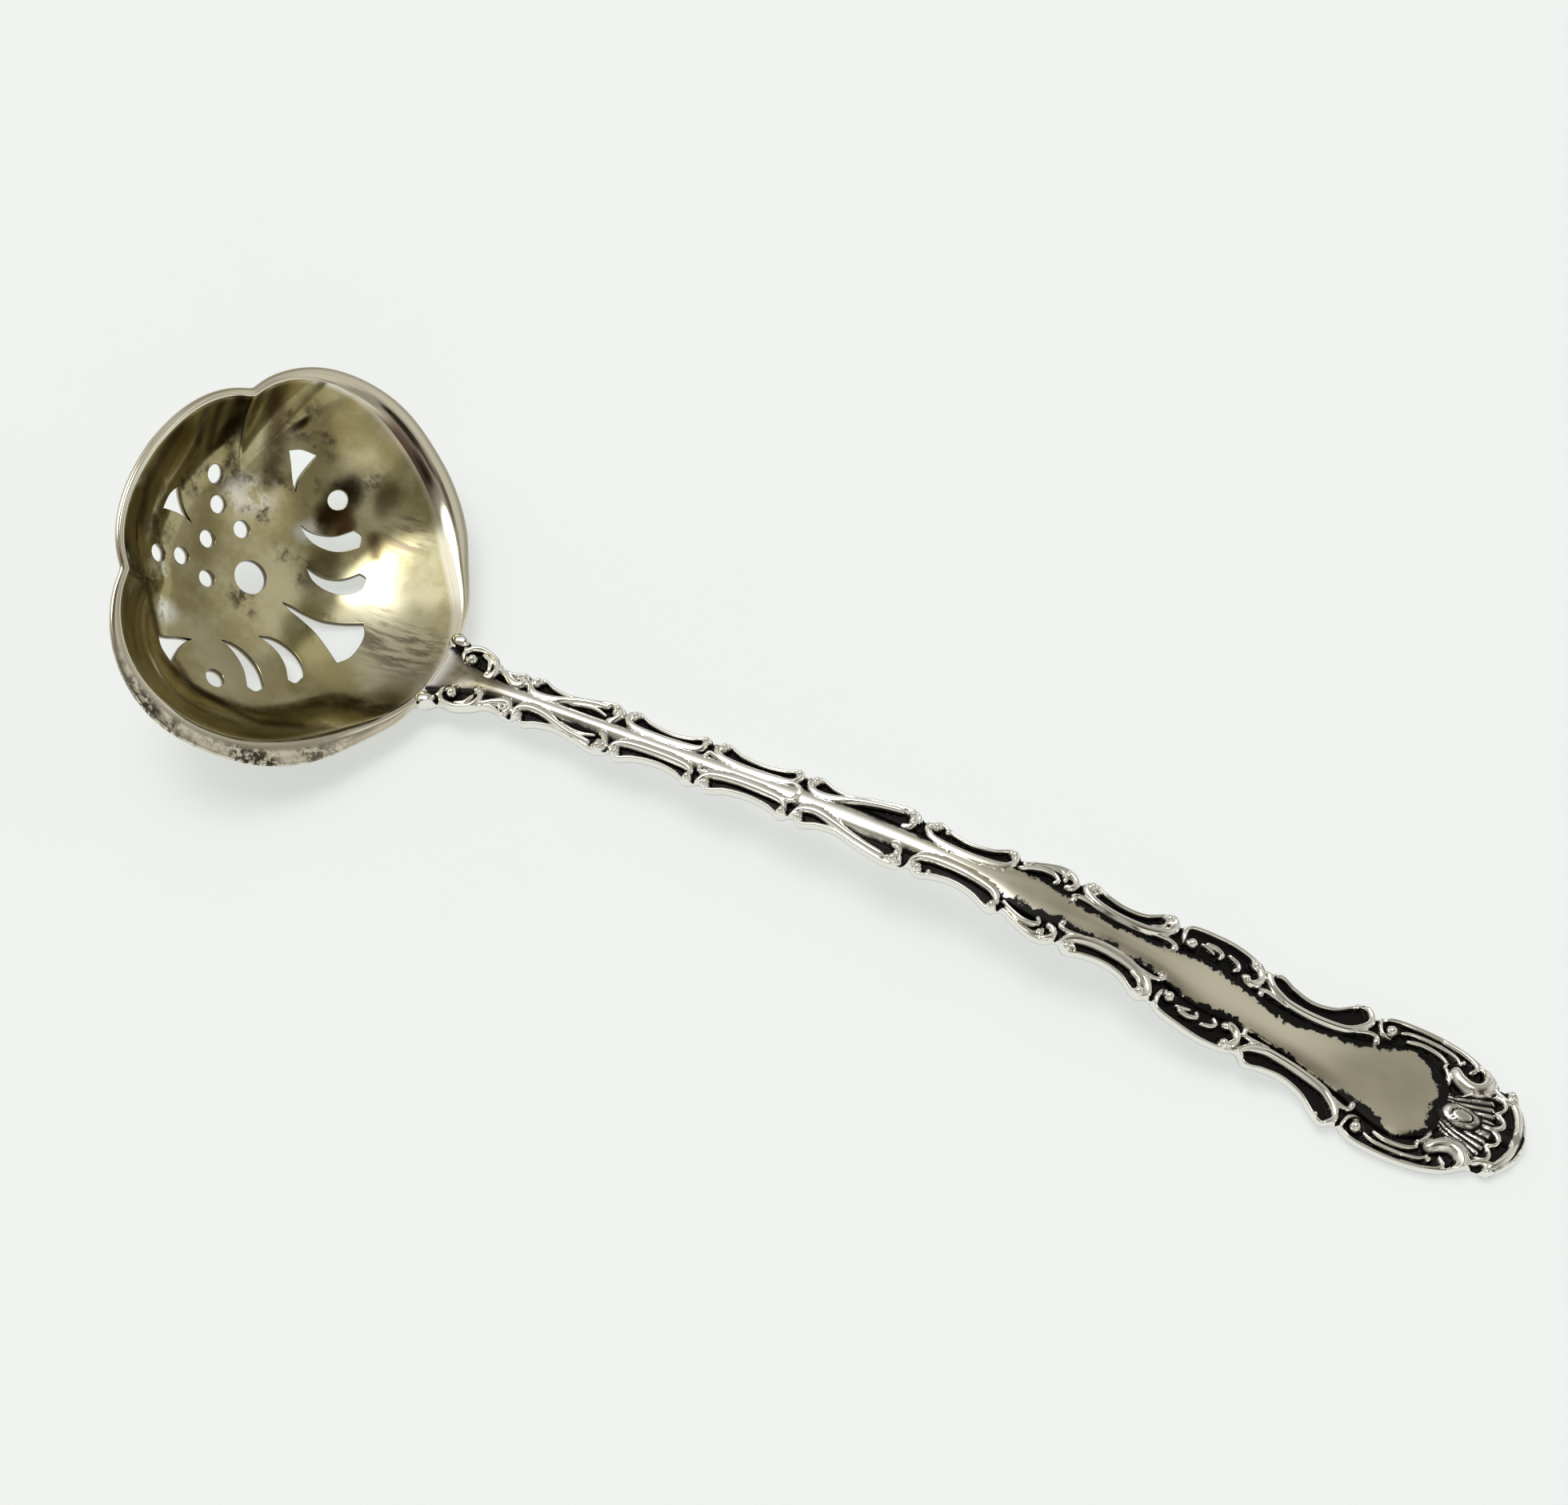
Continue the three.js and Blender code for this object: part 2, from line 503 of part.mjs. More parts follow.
function makeBowl() {
  const inner = RING_SHARES.map((share) => (turn) => insidePoint(share, turn));
  const outer = RING_SHARES.map((share) => (turn) => offsetPoint(share, turn, BOWL_WALL)).reverse();
  const lip = [(turn) => lipPoints(turn)[0], (turn) => lipPoints(turn)[1]];
  const under = (turn) => offsetPoint(1, turn, BOWL_WALL).setZ(insidePoint(1, turn).z - LIP_THICKNESS);
  const blank = solidFrom(revolved([...inner, ...lip, under, ...outer.slice(1)]));
  const seat = seatBlock(halfWidth(0) + CLEARANCE, SEAT_HEIGHT, ROOF);
  return piercings().reduce((solid, cut) => solid.subtract(cut), blank.subtract(seat));
}

function makeHandle() {
  const struck = ornament().reduce((solid, piece) => solid.add(piece), handleBody(0));
  const wall = filledBowl(BOWL_WALL + CLEARANCE, ROOF);
  const seated = seatBlock(HANDLE_HALF_WIDTH, -OVERRUN, SEAT_HEIGHT + CLEARANCE).intersect(wall);
  return struck.subtract(filledBowl(0, ROOF + OVERRUN)).subtract(seated);
}

// The solder fillet in the corner between the outside of the wall and the end of the handle's root
function makeSeam() {
  const inward = handlePlace(FIRST_ROW, 0, 0);
  const heading = handlePlace(0, 0, 0).sub(inward).normalize();
  const spread = THREE.MathUtils.radToDeg(Math.asin(halfWidth(0) * SEAM_SPREAD_SHARE / rootPoint.x));
  const corners = [];
  for (let i = 0; i <= SEAM_STEPS; i += 1) {
    const turn = HALF_TURN - spread + 2 * spread * i / SEAM_STEPS;
    const wrapped = turn > HALF_TURN ? turn - 2 * HALF_TURN : turn;
    const above = (share) => offsetPoint(share, wrapped, BOWL_WALL).sub(inward).dot(heading);
    corners.push(offsetPoint(crossing(above, 1 / 2, 1), wrapped, BOWL_WALL));
  }
  const path = new THREE.CatmullRomCurve3(corners);
  const section = new THREE.Shape();
  section.absarc(0, 0, SEAM_RADIUS, 0, 2 * Math.PI, false);
  const fillet = new THREE.ExtrudeGeometry(section, {
    steps: SEAM_STEPS, curveSegments: SEAM_SIDES, extrudePath: path, bevelEnabled: false,
  });
  return solidFrom(fillet).subtract(filledBowl(BOWL_WALL + CLEARANCE, ROOF)).subtract(handleBody(CLEARANCE));
}

// Rest: the ladle turned about Y until bowl and handle touch the same level, with a flat at each
function lowest(geometry, tilt) {
  const position = geometry.getAttribute('position');
  let least = Infinity;
  for (let i = 0; i < position.count; i += 1) {
    least = Math.min(least, position.getZ(i) * Math.cos(tilt) - position.getX(i) * Math.sin(tilt));
  }
  return least;
}

const raw = {
  bowl: geometryFrom(makeBowl()),
  handle: geometryFrom(makeHandle()),
  solder_seam: geometryFrom(makeSeam()),
};
const restTilt = crossing((tilt) => lowest(raw.bowl, tilt) - lowest(raw.handle, tilt), 0, Math.PI / 3);
const restLevel = lowest(raw.bowl, restTilt) + REST_FLAT_DEPTH;

const box = new THREE.Box3();
for (const geometry of Object.values(raw)) {
  geometry.applyMatrix4(new THREE.Matrix4().makeRotationY(restTilt));
  geometry.translate(0, 0, -restLevel);
  geometry.computeBoundingBox();
  box.union(geometry.boundingBox);
}
const middle = box.getCenter(new THREE.Vector3());
const span = box.getSize(new THREE.Vector3());
const ground = new THREE.BoxGeometry(2 * span.x, 2 * span.x, 2 * OVERRUN).translate(0, 0, -OVERRUN);

const finishes = {
  bowl: { color: 0xb3a67c, roughness: 0.2, metalness: 1 },
  handle: { color: 0xc4c0b2, roughness: 0.25, metalness: 1 },
  solder_seam: { color: 0xaaa593, roughness: 0.4, metalness: 1 },
};

const ladle = new THREE.Group();
for (const [name, geometry] of Object.entries(raw)) {
  const centred = geometry.translate(-middle.x, -middle.y, 0);
  const rested = geometryFrom(solidFrom(centred).subtract(solidFrom(ground)));
  const mesh = new THREE.Mesh(rested, new THREE.MeshStandardMaterial(finishes[name]));
  mesh.name = name;
  ladle.add(mesh);
}

export default ladle;
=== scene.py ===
"""Looks of the pierced condiment ladle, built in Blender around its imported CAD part.

Lengths are in millimetres in the ladle's own frame: the origin is the inner floor of the bowl on its axis,
+X points to the handle and +Z out of the bowl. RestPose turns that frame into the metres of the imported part.
"""

import json
import logging
import math
from collections.abc import Sequence
from dataclasses import dataclass, field
from enum import Enum

import bpy
import numpy as np
from mathutils import Matrix, Vector

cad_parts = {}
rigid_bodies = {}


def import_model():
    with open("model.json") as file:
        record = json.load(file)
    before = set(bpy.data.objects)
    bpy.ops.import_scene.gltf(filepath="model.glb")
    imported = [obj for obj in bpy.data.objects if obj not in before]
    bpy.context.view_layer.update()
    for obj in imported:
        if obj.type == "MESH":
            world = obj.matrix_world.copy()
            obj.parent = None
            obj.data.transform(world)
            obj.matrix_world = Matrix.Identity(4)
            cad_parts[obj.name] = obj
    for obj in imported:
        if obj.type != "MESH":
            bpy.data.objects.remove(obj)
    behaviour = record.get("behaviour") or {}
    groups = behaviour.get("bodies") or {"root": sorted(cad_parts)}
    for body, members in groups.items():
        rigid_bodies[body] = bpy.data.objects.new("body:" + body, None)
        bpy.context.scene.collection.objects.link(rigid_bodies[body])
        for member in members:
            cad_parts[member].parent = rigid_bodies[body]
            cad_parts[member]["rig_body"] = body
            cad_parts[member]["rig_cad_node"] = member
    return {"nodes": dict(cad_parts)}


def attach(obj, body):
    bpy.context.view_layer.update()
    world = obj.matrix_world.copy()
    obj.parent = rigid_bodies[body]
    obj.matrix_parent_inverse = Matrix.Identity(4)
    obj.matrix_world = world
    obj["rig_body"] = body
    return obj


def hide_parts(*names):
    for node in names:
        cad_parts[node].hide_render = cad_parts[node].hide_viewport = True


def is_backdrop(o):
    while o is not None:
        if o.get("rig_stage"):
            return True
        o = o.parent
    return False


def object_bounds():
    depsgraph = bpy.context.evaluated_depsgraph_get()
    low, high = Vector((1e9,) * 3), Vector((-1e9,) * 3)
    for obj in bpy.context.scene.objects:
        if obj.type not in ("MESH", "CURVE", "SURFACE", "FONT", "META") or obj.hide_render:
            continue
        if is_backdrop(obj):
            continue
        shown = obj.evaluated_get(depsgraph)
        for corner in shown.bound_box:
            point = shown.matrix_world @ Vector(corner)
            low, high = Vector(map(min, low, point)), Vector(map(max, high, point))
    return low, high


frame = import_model()
CAD_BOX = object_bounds()

log = logging.getLogger("ladle")

Pairs = Sequence[tuple[float, float]]
Marks = Sequence[tuple[float, float, float, float, float]]
Colour = tuple[float, float, float]
Socket = bpy.types.NodeSocket
Piece = bpy.types.Object

MILLIMETRES = 1000.0
HUNDRED = 100.0
HALF_TURN = 180.0
SAME_PLACE = 0.000001
WALL_STEEPNESS = 8.0


class Slot(Enum):
    """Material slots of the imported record."""

    BOWL = "bowl_silver"
    HANDLE = "handle_silver"
    SOLDER = "solder"


@dataclass(frozen=True)
class RestPose:
    """How the ladle lies: turned about Y until bowl and handle touch the table, then centred.

    Attributes:
        tilt: turn about Y in radians.
        level: height of the table below the turned frame's origin.
        shift: distance from the turned frame's origin to the middle of the ladle.
    """

    tilt: float = 0.633375
    level: float = -5.28126
    shift: float = 62.70097

    def turned(self, vectors: np.ndarray) -> np.ndarray:
        """Directions of the ladle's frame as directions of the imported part.

        Args:
            vectors: array whose last axis is X, Y, Z.

        Returns:
            Array of the same shape.
        """
        cosine, sine = math.cos(self.tilt), math.sin(self.tilt)
        x, y, z = vectors[..., 0], vectors[..., 1], vectors[..., 2]
        return np.stack([x * cosine + z * sine, y, z * cosine - x * sine], axis=-1)

    def metres(self, points: np.ndarray) -> np.ndarray:
        """Points of the ladle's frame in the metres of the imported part, none below the table.

        Args:
            points: array of places in millimetres.

        Returns:
            Array of the same shape, in metres.
        """
        placed = self.turned(points) - np.array([self.shift, 0.0, self.level])
        placed[..., 2] = np.maximum(placed[..., 2], 0.0)
        return placed / MILLIMETRES


REST = RestPose()


def smoothstep(value: np.ndarray, low: float, high: float) -> np.ndarray:
    """Shares that go smoothly from 0 at the low value to 1 at the high one."""
    share = np.clip((value - low) / (high - low), 0.0, 1.0)
    return share * share * (3 - 2 * share)


def eased(share: np.ndarray, ends: Sequence[np.ndarray], slopes: Sequence[np.ndarray]) -> np.ndarray:
    """A cubic curve from one value to another with a set slope at each.

    Args:
        share: share of the way, from 0 to 1.
        ends: values at the start and at the end.
        slopes: slopes there, as the change over the whole way.

    Returns:
        Values along the curve.
    """
    (start, end), (leave, arrive) = ends, slopes
    curved = start + share * leave + share**2 * (3 * (end - start) - 2 * leave - arrive)
    return curved + share**3 * (2 * (start - end) + leave + arrive)


def unit(vectors: np.ndarray) -> np.ndarray:
    """Vectors of length one in the same directions."""
    return vectors / np.linalg.norm(vectors, axis=-1, keepdims=True)


def wrapped(turn: np.ndarray) -> np.ndarray:
    """Turns in degrees, brought to within half a turn either way."""
    return (turn + HALF_TURN) % (2 * HALF_TURN) - HALF_TURN


def around(turn: np.ndarray, reach: np.ndarray, height: np.ndarray) -> np.ndarray:
    """Places at turns in degrees from the bowl's front, distances from its axis and heights."""
    angle = np.radians(turn)
    return np.stack([-np.cos(angle) * reach, np.sin(angle) * reach, height], axis=-1)


class Track:
    """A smooth function through pairs of place and value, level at both ends."""

    def __init__(self, pairs: Pairs) -> None:
        """Keeps the pairs and the slope at each.

        Args:
            pairs: places in rising order with the value at each.
        """
        table = np.array(pairs, float)
        self.places, self.values = table[:, 0], table[:, 1]
        secants = np.diff(self.values) / np.diff(self.places)
        self.slopes = np.concatenate([[0.0], (secants[1:] + secants[:-1]) / 2, [0.0]])

    def __call__(self, at: np.ndarray) -> np.ndarray:
        """Value at each place.

        Args:
            at: places, held to the ends of the track.

        Returns:
            Values, an array like the places.
        """
        held = np.clip(np.asarray(at, float), self.places[0], self.places[-1])
        low = np.clip(np.searchsorted(self.places, held, side="right") - 1, 0, len(self.places) - 2)
        step = self.places[low + 1] - self.places[low]
        share = (held - self.places[low]) / step
        ends, slopes = ((table[low], table[low + 1]) for table in (self.values, self.slopes))
        return eased(share, ends, (slopes[0] * step, slopes[1] * step))


def through(points: Pairs, steps: int) -> np.ndarray:
    """A curve through points, with the same number of steps between each pair.

    Args:
        points: places that the curve runs through.
        steps: steps between two of them.

    Returns:
        Array of places along the curve, both ends included.
    """
    given = np.array(points, float)
    ends = np.vstack([given[:1], given, given[-1:]])
    places = []
    for i in range(len(given) - 1):
        before, start, end, after = ends[i : i + 4]
        slopes = (end - before) / 2, (after - start) / 2
        places += [eased(share, (start, end), slopes) for share in np.arange(steps) / steps]
    return np.array(places + [given[-1]])


class Workshop:
    """Bench work that every piece shares: lofting rings, joining, cutting and placing."""

    @staticmethod
    def alone(piece: Piece) -> None:
        """Makes one object the only selected and active one.

        Args:
            piece: the object.
        """
        bpy.ops.object.select_all(action="DESELECT")
        piece.select_set(True)
        bpy.context.view_layer.objects.active = piece

    @staticmethod
    def loft(name: str, rings: np.ndarray, looped: bool = False, layers: dict | None = None) -> Piece:
        """A closed skin over rings of equal counts.

        Args:
            name: name of the piece.
            rings: array of rings, places round each ring, X, Y, Z.
            looped: the last ring joins the first, otherwise both ends are capped.
            layers: named values for every place, kept as attributes of the points.

        Returns:
            The new object.
        """
        sheet = np.concatenate([rings, rings[:, :1]], axis=1)
        if looped:
            sheet = np.concatenate([sheet, sheet[:1]], axis=0)
        down, across = sheet.shape[0] - 1, sheet.shape[1] - 1
        bpy.ops.object.select_all(action="DESELECT")
        bpy.ops.mesh.primitive_grid_add(x_subdivisions=across, y_subdivisions=down, size=1)
        piece = bpy.context.object
        piece.name = name
        mesh = piece.data
        flat = np.zeros(len(mesh.vertices) * 3, np.float32)
        mesh.vertices.foreach_get("co", flat)
        flat = flat.reshape(-1, 3)
        column = np.rint((flat[:, 0] + 0.5) * across).astype(int)
        row = np.rint((flat[:, 1] + 0.5) * down).astype(int)
        mesh.vertices.foreach_set("co", sheet[row, column].astype(np.float32).ravel())
        for label, values in (layers or {}).items():
            kind = "FLOAT" if values.ndim == 2 else "FLOAT_VECTOR"
            layer = mesh.attributes.new(label, kind, "POINT")
            spread = values[row % rings.shape[0], column % rings.shape[1]].astype(np.float32)
            layer.data.foreach_set("value" if values.ndim == 2 else "vector", spread.ravel())
        Workshop.alone(piece)
        bpy.ops.object.mode_set(mode="EDIT")
        bpy.ops.mesh.select_all(action="SELECT")
        bpy.ops.mesh.remove_doubles(threshold=SAME_PLACE)
        if not looped:
            bpy.ops.mesh.fill_holes(sides=0)
        bpy.ops.mesh.select_all(action="SELECT")
        bpy.ops.mesh.normals_make_consistent(inside=False)
        bpy.ops.object.mode_set(mode="OBJECT")
        while mesh.uv_layers:
            mesh.uv_layers.remove(mesh.uv_layers[0])
        bpy.ops.object.shade_smooth()
        return piece

    @staticmethod
    def cut(piece: Piece, cutters: list[Piece]) -> None:
        """Takes the cutters out of a piece and removes them.

        Args:
            piece: solid to cut.
            cutters: closed solids that don't touch each other.
        """
        Workshop.alone(cutters[0])
        for cutter in cutters:
            cutter.select_set(True)
        bpy.ops.object.join()
        cutter = bpy.context.object
        Workshop.alone(piece)
        bpy.ops.object.modifier_add(type="BOOLEAN")
        modifier = piece.modifiers[-1]
        modifier.operation, modifier.object, modifier.solver = "DIFFERENCE", cutter, "MANIFOLD"
        bpy.ops.object.modifier_apply(modifier=modifier.name)
        bpy.data.objects.remove(cutter)

    @staticmethod
    def places(piece: Piece) -> np.ndarray:
        """Places of a piece's points.

        Args:
            piece: the object.

        Returns:
            Array of places, one row each.
        """
        flat = np.zeros(len(piece.data.vertices) * 3, np.float32)
        piece.data.vertices.foreach_get("co", flat)
        return flat.reshape(-1, 3).astype(float)

    @staticmethod
    def finish(piece: Piece, material: bpy.types.Material, slot: Slot, *nodes: str) -> None:
        """Gives a piece its finish and, where it replaces CAD nodes, the root body, and hides those nodes.

        Args:
            piece: finished piece in place.
            material: its finish.
            slot: the record's slot; not used.
            nodes: CAD nodes that it replaces.
        """
        piece.data.materials.clear()
        piece.data.materials.append(material)
        if nodes:
            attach(piece, "root")
            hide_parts(*nodes)
        log.info("%s: %d points", piece.name, len(piece.data.vertices))


class Nodes:
    """A node tree, written node by node."""

    def __init__(self, tree: bpy.types.NodeTree) -> None:
        """Takes the tree to write in."""
        self.tree = tree

    def feed(self, socket: Socket, value: object) -> None:
        """Sets a socket to a value, or links it to another socket.

        Args:
            socket: input to set.
            value: number, colour, vector or socket.
        """
        if isinstance(value, Socket):
            self.tree.links.new(value, socket)
        else:
            socket.default_value = (*value, 1.0) if socket.type == "RGBA" else value

    def node(self, kind: str, inputs: dict | None = None, **settings: str) -> bpy.types.Node:
        """Adds a node.

        Args:
            kind: type of the node.
            inputs: values or sockets, by the number or name of the input.
            settings: properties of the node by name.

        Returns:
            The node.
        """
        node = self.tree.nodes.new(kind)
        for label, value in settings.items():
            setattr(node, label, value)
        for label, value in (inputs or {}).items():
            self.feed(node.inputs[label], value)
        return node

    def math(self, operation: str, first: object, second: object = 0.0) -> Socket:
        """Result of a Math node for one or two values or sockets."""
        return self.node("ShaderNodeMath", {0: first, 1: second}, operation=operation).outputs[0]

    def product(self, first: Socket, *others: object) -> Socket:
        """A socket multiplied by other values.

        Args:
            first: socket to multiply.
            others: values or sockets.

        Returns:
            Socket with the product.
        """
        for other in others:
            first = self.math("MULTIPLY", first, other)
        return first

    def graded(self, value: object, low: float, high: float, start: float = 0.0, end: float = 1.0) -> Socket:
        """Smooth grade of a value, from start at its low level to end at its high one."""
        levels = {"Value": value, "From Min": low, "From Max": high, "To Min": start, "To Max": end}
        return self.node("ShaderNodeMapRange", levels, interpolation_type="SMOOTHSTEP").outputs["Result"]

    def mixed(self, share: object, first: object, second: object) -> Socket:
        """Colour between a first, where the share is 0, and a second, where it is 1."""
        return self.node("ShaderNodeMix", {0: share, 6: first, 7: second}, data_type="RGBA").outputs[2]


class Recipe(Nodes):
    """The node tree of one finish."""

    def __init__(self, name: str) -> None:
        """Starts a material with its Principled surface.

        Args:
            name: name of the material.
        """
        self.material = bpy.data.materials.new(name)
        self.material.use_nodes = True
        super().__init__(self.material.node_tree)
        self.surface = self.tree.nodes["Principled BSDF"]
        self.place = self.node("ShaderNodeTexCoord").outputs["Object"]

    def noise(self, scale: float, detail: float, rough: float, stretch: Colour | None = None) -> Socket:
        """Noise over the object's own coordinates.

        Args:
            scale: ripples per metre.
            detail: octaves.
            rough: strength of the finer octaves.
            stretch: scale along each axis.

        Returns:
            Socket with values around a half.
        """
        source = self.place
        if stretch:
            source = self.node("ShaderNodeMapping", {"Vector": source, "Scale": stretch}).outputs["Vector"]
        inputs = {"Vector": source, "Scale": scale, "Detail": detail, "Roughness": rough}
        return self.node("ShaderNodeTexNoise", inputs).outputs["Fac"]

    def attribute(self, name: str) -> Socket:
        """Values of a named attribute of the points."""
        return self.node("ShaderNodeAttribute", attribute_name=name).outputs["Fac"]

    def bumped(self, height: Socket, depth: float, strength: float) -> None:
        """Ripples the surface, on top of what ripples it already.

        Args:
            height: socket with the height share.
            depth: depth in metres.
            strength: share of the effect.
        """
        normal = self.surface.inputs["Normal"]
        inputs = {"Height": height, "Distance": depth, "Strength": strength}
        if normal.is_linked:
            inputs["Normal"] = normal.links[0].from_socket
        self.feed(normal, self.node("ShaderNodeBump", inputs).outputs["Normal"])

    def metal(self, colour: Socket, rough: Socket) -> None:
        """Makes the surface bare metal of a colour and a roughness."""
        for label, value in (("Base Color", colour), ("Metallic", 1.0), ("Roughness", rough)):
            self.feed(self.surface.inputs[label], value)


@dataclass(frozen=True)
class BowlSilver:
    """Tarnished silver of the bowl: olive inside, greyer on the lip and outside."""

    inside: Colour = (0.37, 0.325, 0.16)
    cloudy: Colour = (0.56, 0.515, 0.33)
    outside: Colour = (0.71, 0.665, 0.54)
    stain: Colour = (0.10, 0.08, 0.05)
    sawn: Colour = (0.10, 0.08, 0.05)
    rub: Colour = (0.23, 0.19, 0.13)
    # Dark streaks along the folds and the near crease: tarnish, and partly painted dark reflections
    streak_and_painted_reflection: Colour = (0.11, 0.08, 0.04)
    # Painted shade: darker tone laid over the front lobe and the near and far walls
    deep: Colour = (0.27, 0.225, 0.10)
    pale: Colour = (0.93, 0.91, 0.82)
    # Painted highlight: paler, less tinted film on the rear wall by the handle, where the window's highlight
    # falls
    lightened: Colour = (0.56, 0.53, 0.39)
    # Painted dark reflection: a dark wedge on the inner part of the far lip
    painted_reflection_wedge: Colour = (0.10, 0.05, 0.035)
    spot: Colour = (0.07, 0.055, 0.04)

    def material(self) -> bpy.types.Material:
        """Builds the finish: tarnish in the hollow, then one film of colour over another; some films paint
        shade, a highlight and dark reflections.

        A film lies where the points' attribute of its name is set, and noises break it up.

        Returns:
            The finish.
        """
        recipe = Recipe("tarnished_bowl_silver")
        graded = recipe.graded
        clouds, mottle = recipe.noise(150, 5, 0.62), recipe.noise(420, 6, 0.65)
        fine, brushed = recipe.noise(1100, 5, 0.7), recipe.noise(700, 3, 0.6, (0.35, 2.5, 1.0))
        tarnish = recipe.mixed(graded(clouds, 0.36, 0.62), self.inside, self.cloudy)
        skin = recipe.mixed(recipe.attribute("hollow"), self.outside, tarnish)
        films = (
            # Painted shade: darker tone over the front lobe and the near and far walls
            ("deep", self.deep, graded(clouds, 0.3, 0.6, 1.0, 0.6)),
            # Painted highlight: paler film on the rear wall where the window's highlight falls
            ("lightened", self.lightened, graded(clouds, 0.3, 0.6, 1.0, 0.7)),
            ("clouded", self.pale, graded(mottle, 0.35, 0.55, 0.0, 0.85)),
            ("rubbed", self.rub, graded(brushed, 0.38, 0.62)),
            ("smudged", self.stain, graded(mottle, 0.46, 0.60), graded(fine, 0.36, 0.56, 0.35, 1.0)),
            # Streaks along the folds: tarnish, and partly painted dark reflections
            ("streaks_and_painted_reflections", self.streak_and_painted_reflection, graded(mottle, 0.25, 0.55, 0.6, 0.95)),
            # Painted dark reflection on the far lip
            ("painted_dark_reflection", self.painted_reflection_wedge, 0.92),
            ("spotted", self.spot, graded(fine, 0.43, 0.53), graded(clouds, 0.38, 0.52)),
            ("sawn", self.sawn))
        strength = {}
        for label, colour, *shares in films:
            strength[label] = recipe.product(recipe.attribute(label), *shares)
            skin = recipe.mixed(strength[label], skin, colour)
        crust = recipe.product(strength["spotted"], 0.3)
        recipe.metal(skin, recipe.math("ADD", graded(mottle, 0.35, 0.7, 0.07, 0.17), crust))
        recipe.bumped(recipe.noise(90, 2, 0.4), 0.0004, 0.35)
        recipe.bumped(recipe.noise(900, 3, 0.6, (1.0, 5.0, 5.0)), 0.000002, 0.5)
        return recipe.material


@dataclass(frozen=True)
class HandleSilver:
    """Struck silver: rubbed bright on the raised work, near black in the recesses."""

    bright: Colour = (0.86, 0.845, 0.79)
    panel: Colour = (0.69, 0.65, 0.52)
    # Brown patina on the root panel, made darker as painted shade
    root: Colour = (0.19, 0.155, 0.065)
    # Painted shade: darker towards the root panel's border
    root_painted_shade: Colour = (0.05, 0.042, 0.03)
    oxide: Colour = (0.018, 0.017, 0.016)

    def material(self) -> bpy.types.Material:
        """Builds the finish: metal where the struck face is rubbed, oxide in between, and painted shade on the
        root panel.

        It reads the points' attributes coverage, panel, rootward, broad, fluted and flute.

        Returns:
            The finish.
        """
        recipe = Recipe("oxidised_handle_silver")
        graded, product = recipe.graded, recipe.product
        patches, grain = recipe.noise(260, 4, 0.6), recipe.noise(1500, 5, 0.65)
        coarse, fine = (recipe.math("SUBTRACT", noise, 0.5) for noise in (patches, grain))
        panel, rootward, broad = (recipe.attribute(label) for label in ("panel", "rootward", "broad"))

        crest = recipe.math("ADD", recipe.attribute("coverage"), product(fine, 0.3))
        border = graded(crest, 0.32, 0.70)
        ragged = recipe.math("ADD", product(fine, 1.8), product(coarse, 2.0))
        ragged = product(ragged, graded(broad, 0.0, 0.6, 0.25, 1.0))
        inset = product(recipe.math("ADD", panel, ragged), graded(broad, 0.0, 0.6, 0.4, 1.0))
        clean = graded(inset, -0.10, 0.10)
        wave = recipe.math("COSINE", recipe.attribute("flute"))
        flutes = product(graded(wave, -0.35, 0.45), graded(recipe.attribute("fluted"), 0.3, 0.7))
        rubbed = recipe.math("MAXIMUM", recipe.math("MAXIMUM", border, clean), flutes)

        metal = recipe.mixed(product(clean, broad), self.bright, self.panel)
        # Brown patina at the root, made darker as painted shade
        metal = recipe.mixed(product(rootward, graded(patches, 0.3, 0.7, 1.0, 0.5)), metal, self.root)
        # Painted shade: darker towards the root panel's border
        metal = recipe.mixed(product(rootward, graded(panel, -0.1, 1.0, 0.9, 0.0)), metal, self.root_painted_shade)
        polish = recipe.math("ADD", graded(patches, 0.35, 0.7, 0.07, 0.12), product(clean, 0.12))
        rough = recipe.math("MAXIMUM", polish, graded(rubbed, 0.0, 1.0, 0.42, 0.1))
        recipe.metal(recipe.mixed(rubbed, self.oxide, metal), rough)
        recipe.bumped(recipe.noise(110, 2, 0.4), 0.0003, 0.2)
        return recipe.material


@dataclass(frozen=True)
class HardSolder:
    """Dull grey hard solder of the fillet under the root."""

    clean: Colour = (0.60, 0.57, 0.50)
    burnt: Colour = (0.22, 0.19, 0.15)

    def material(self) -> bpy.types.Material:
        """Builds the finish from noise alone.

        Returns:
            The finish.
        """
        recipe = Recipe("hard_solder")
        patches = recipe.noise(900, 5, 0.6)
        colour = recipe.mixed(recipe.graded(patches, 0.4, 0.65), self.clean, self.burnt)
        recipe.metal(colour, recipe.graded(patches, 0.3, 0.7, 0.3, 0.55))
        recipe.bumped(recipe.noise(1500, 3, 0.6), 0.00003, 0.6)
        return recipe.material


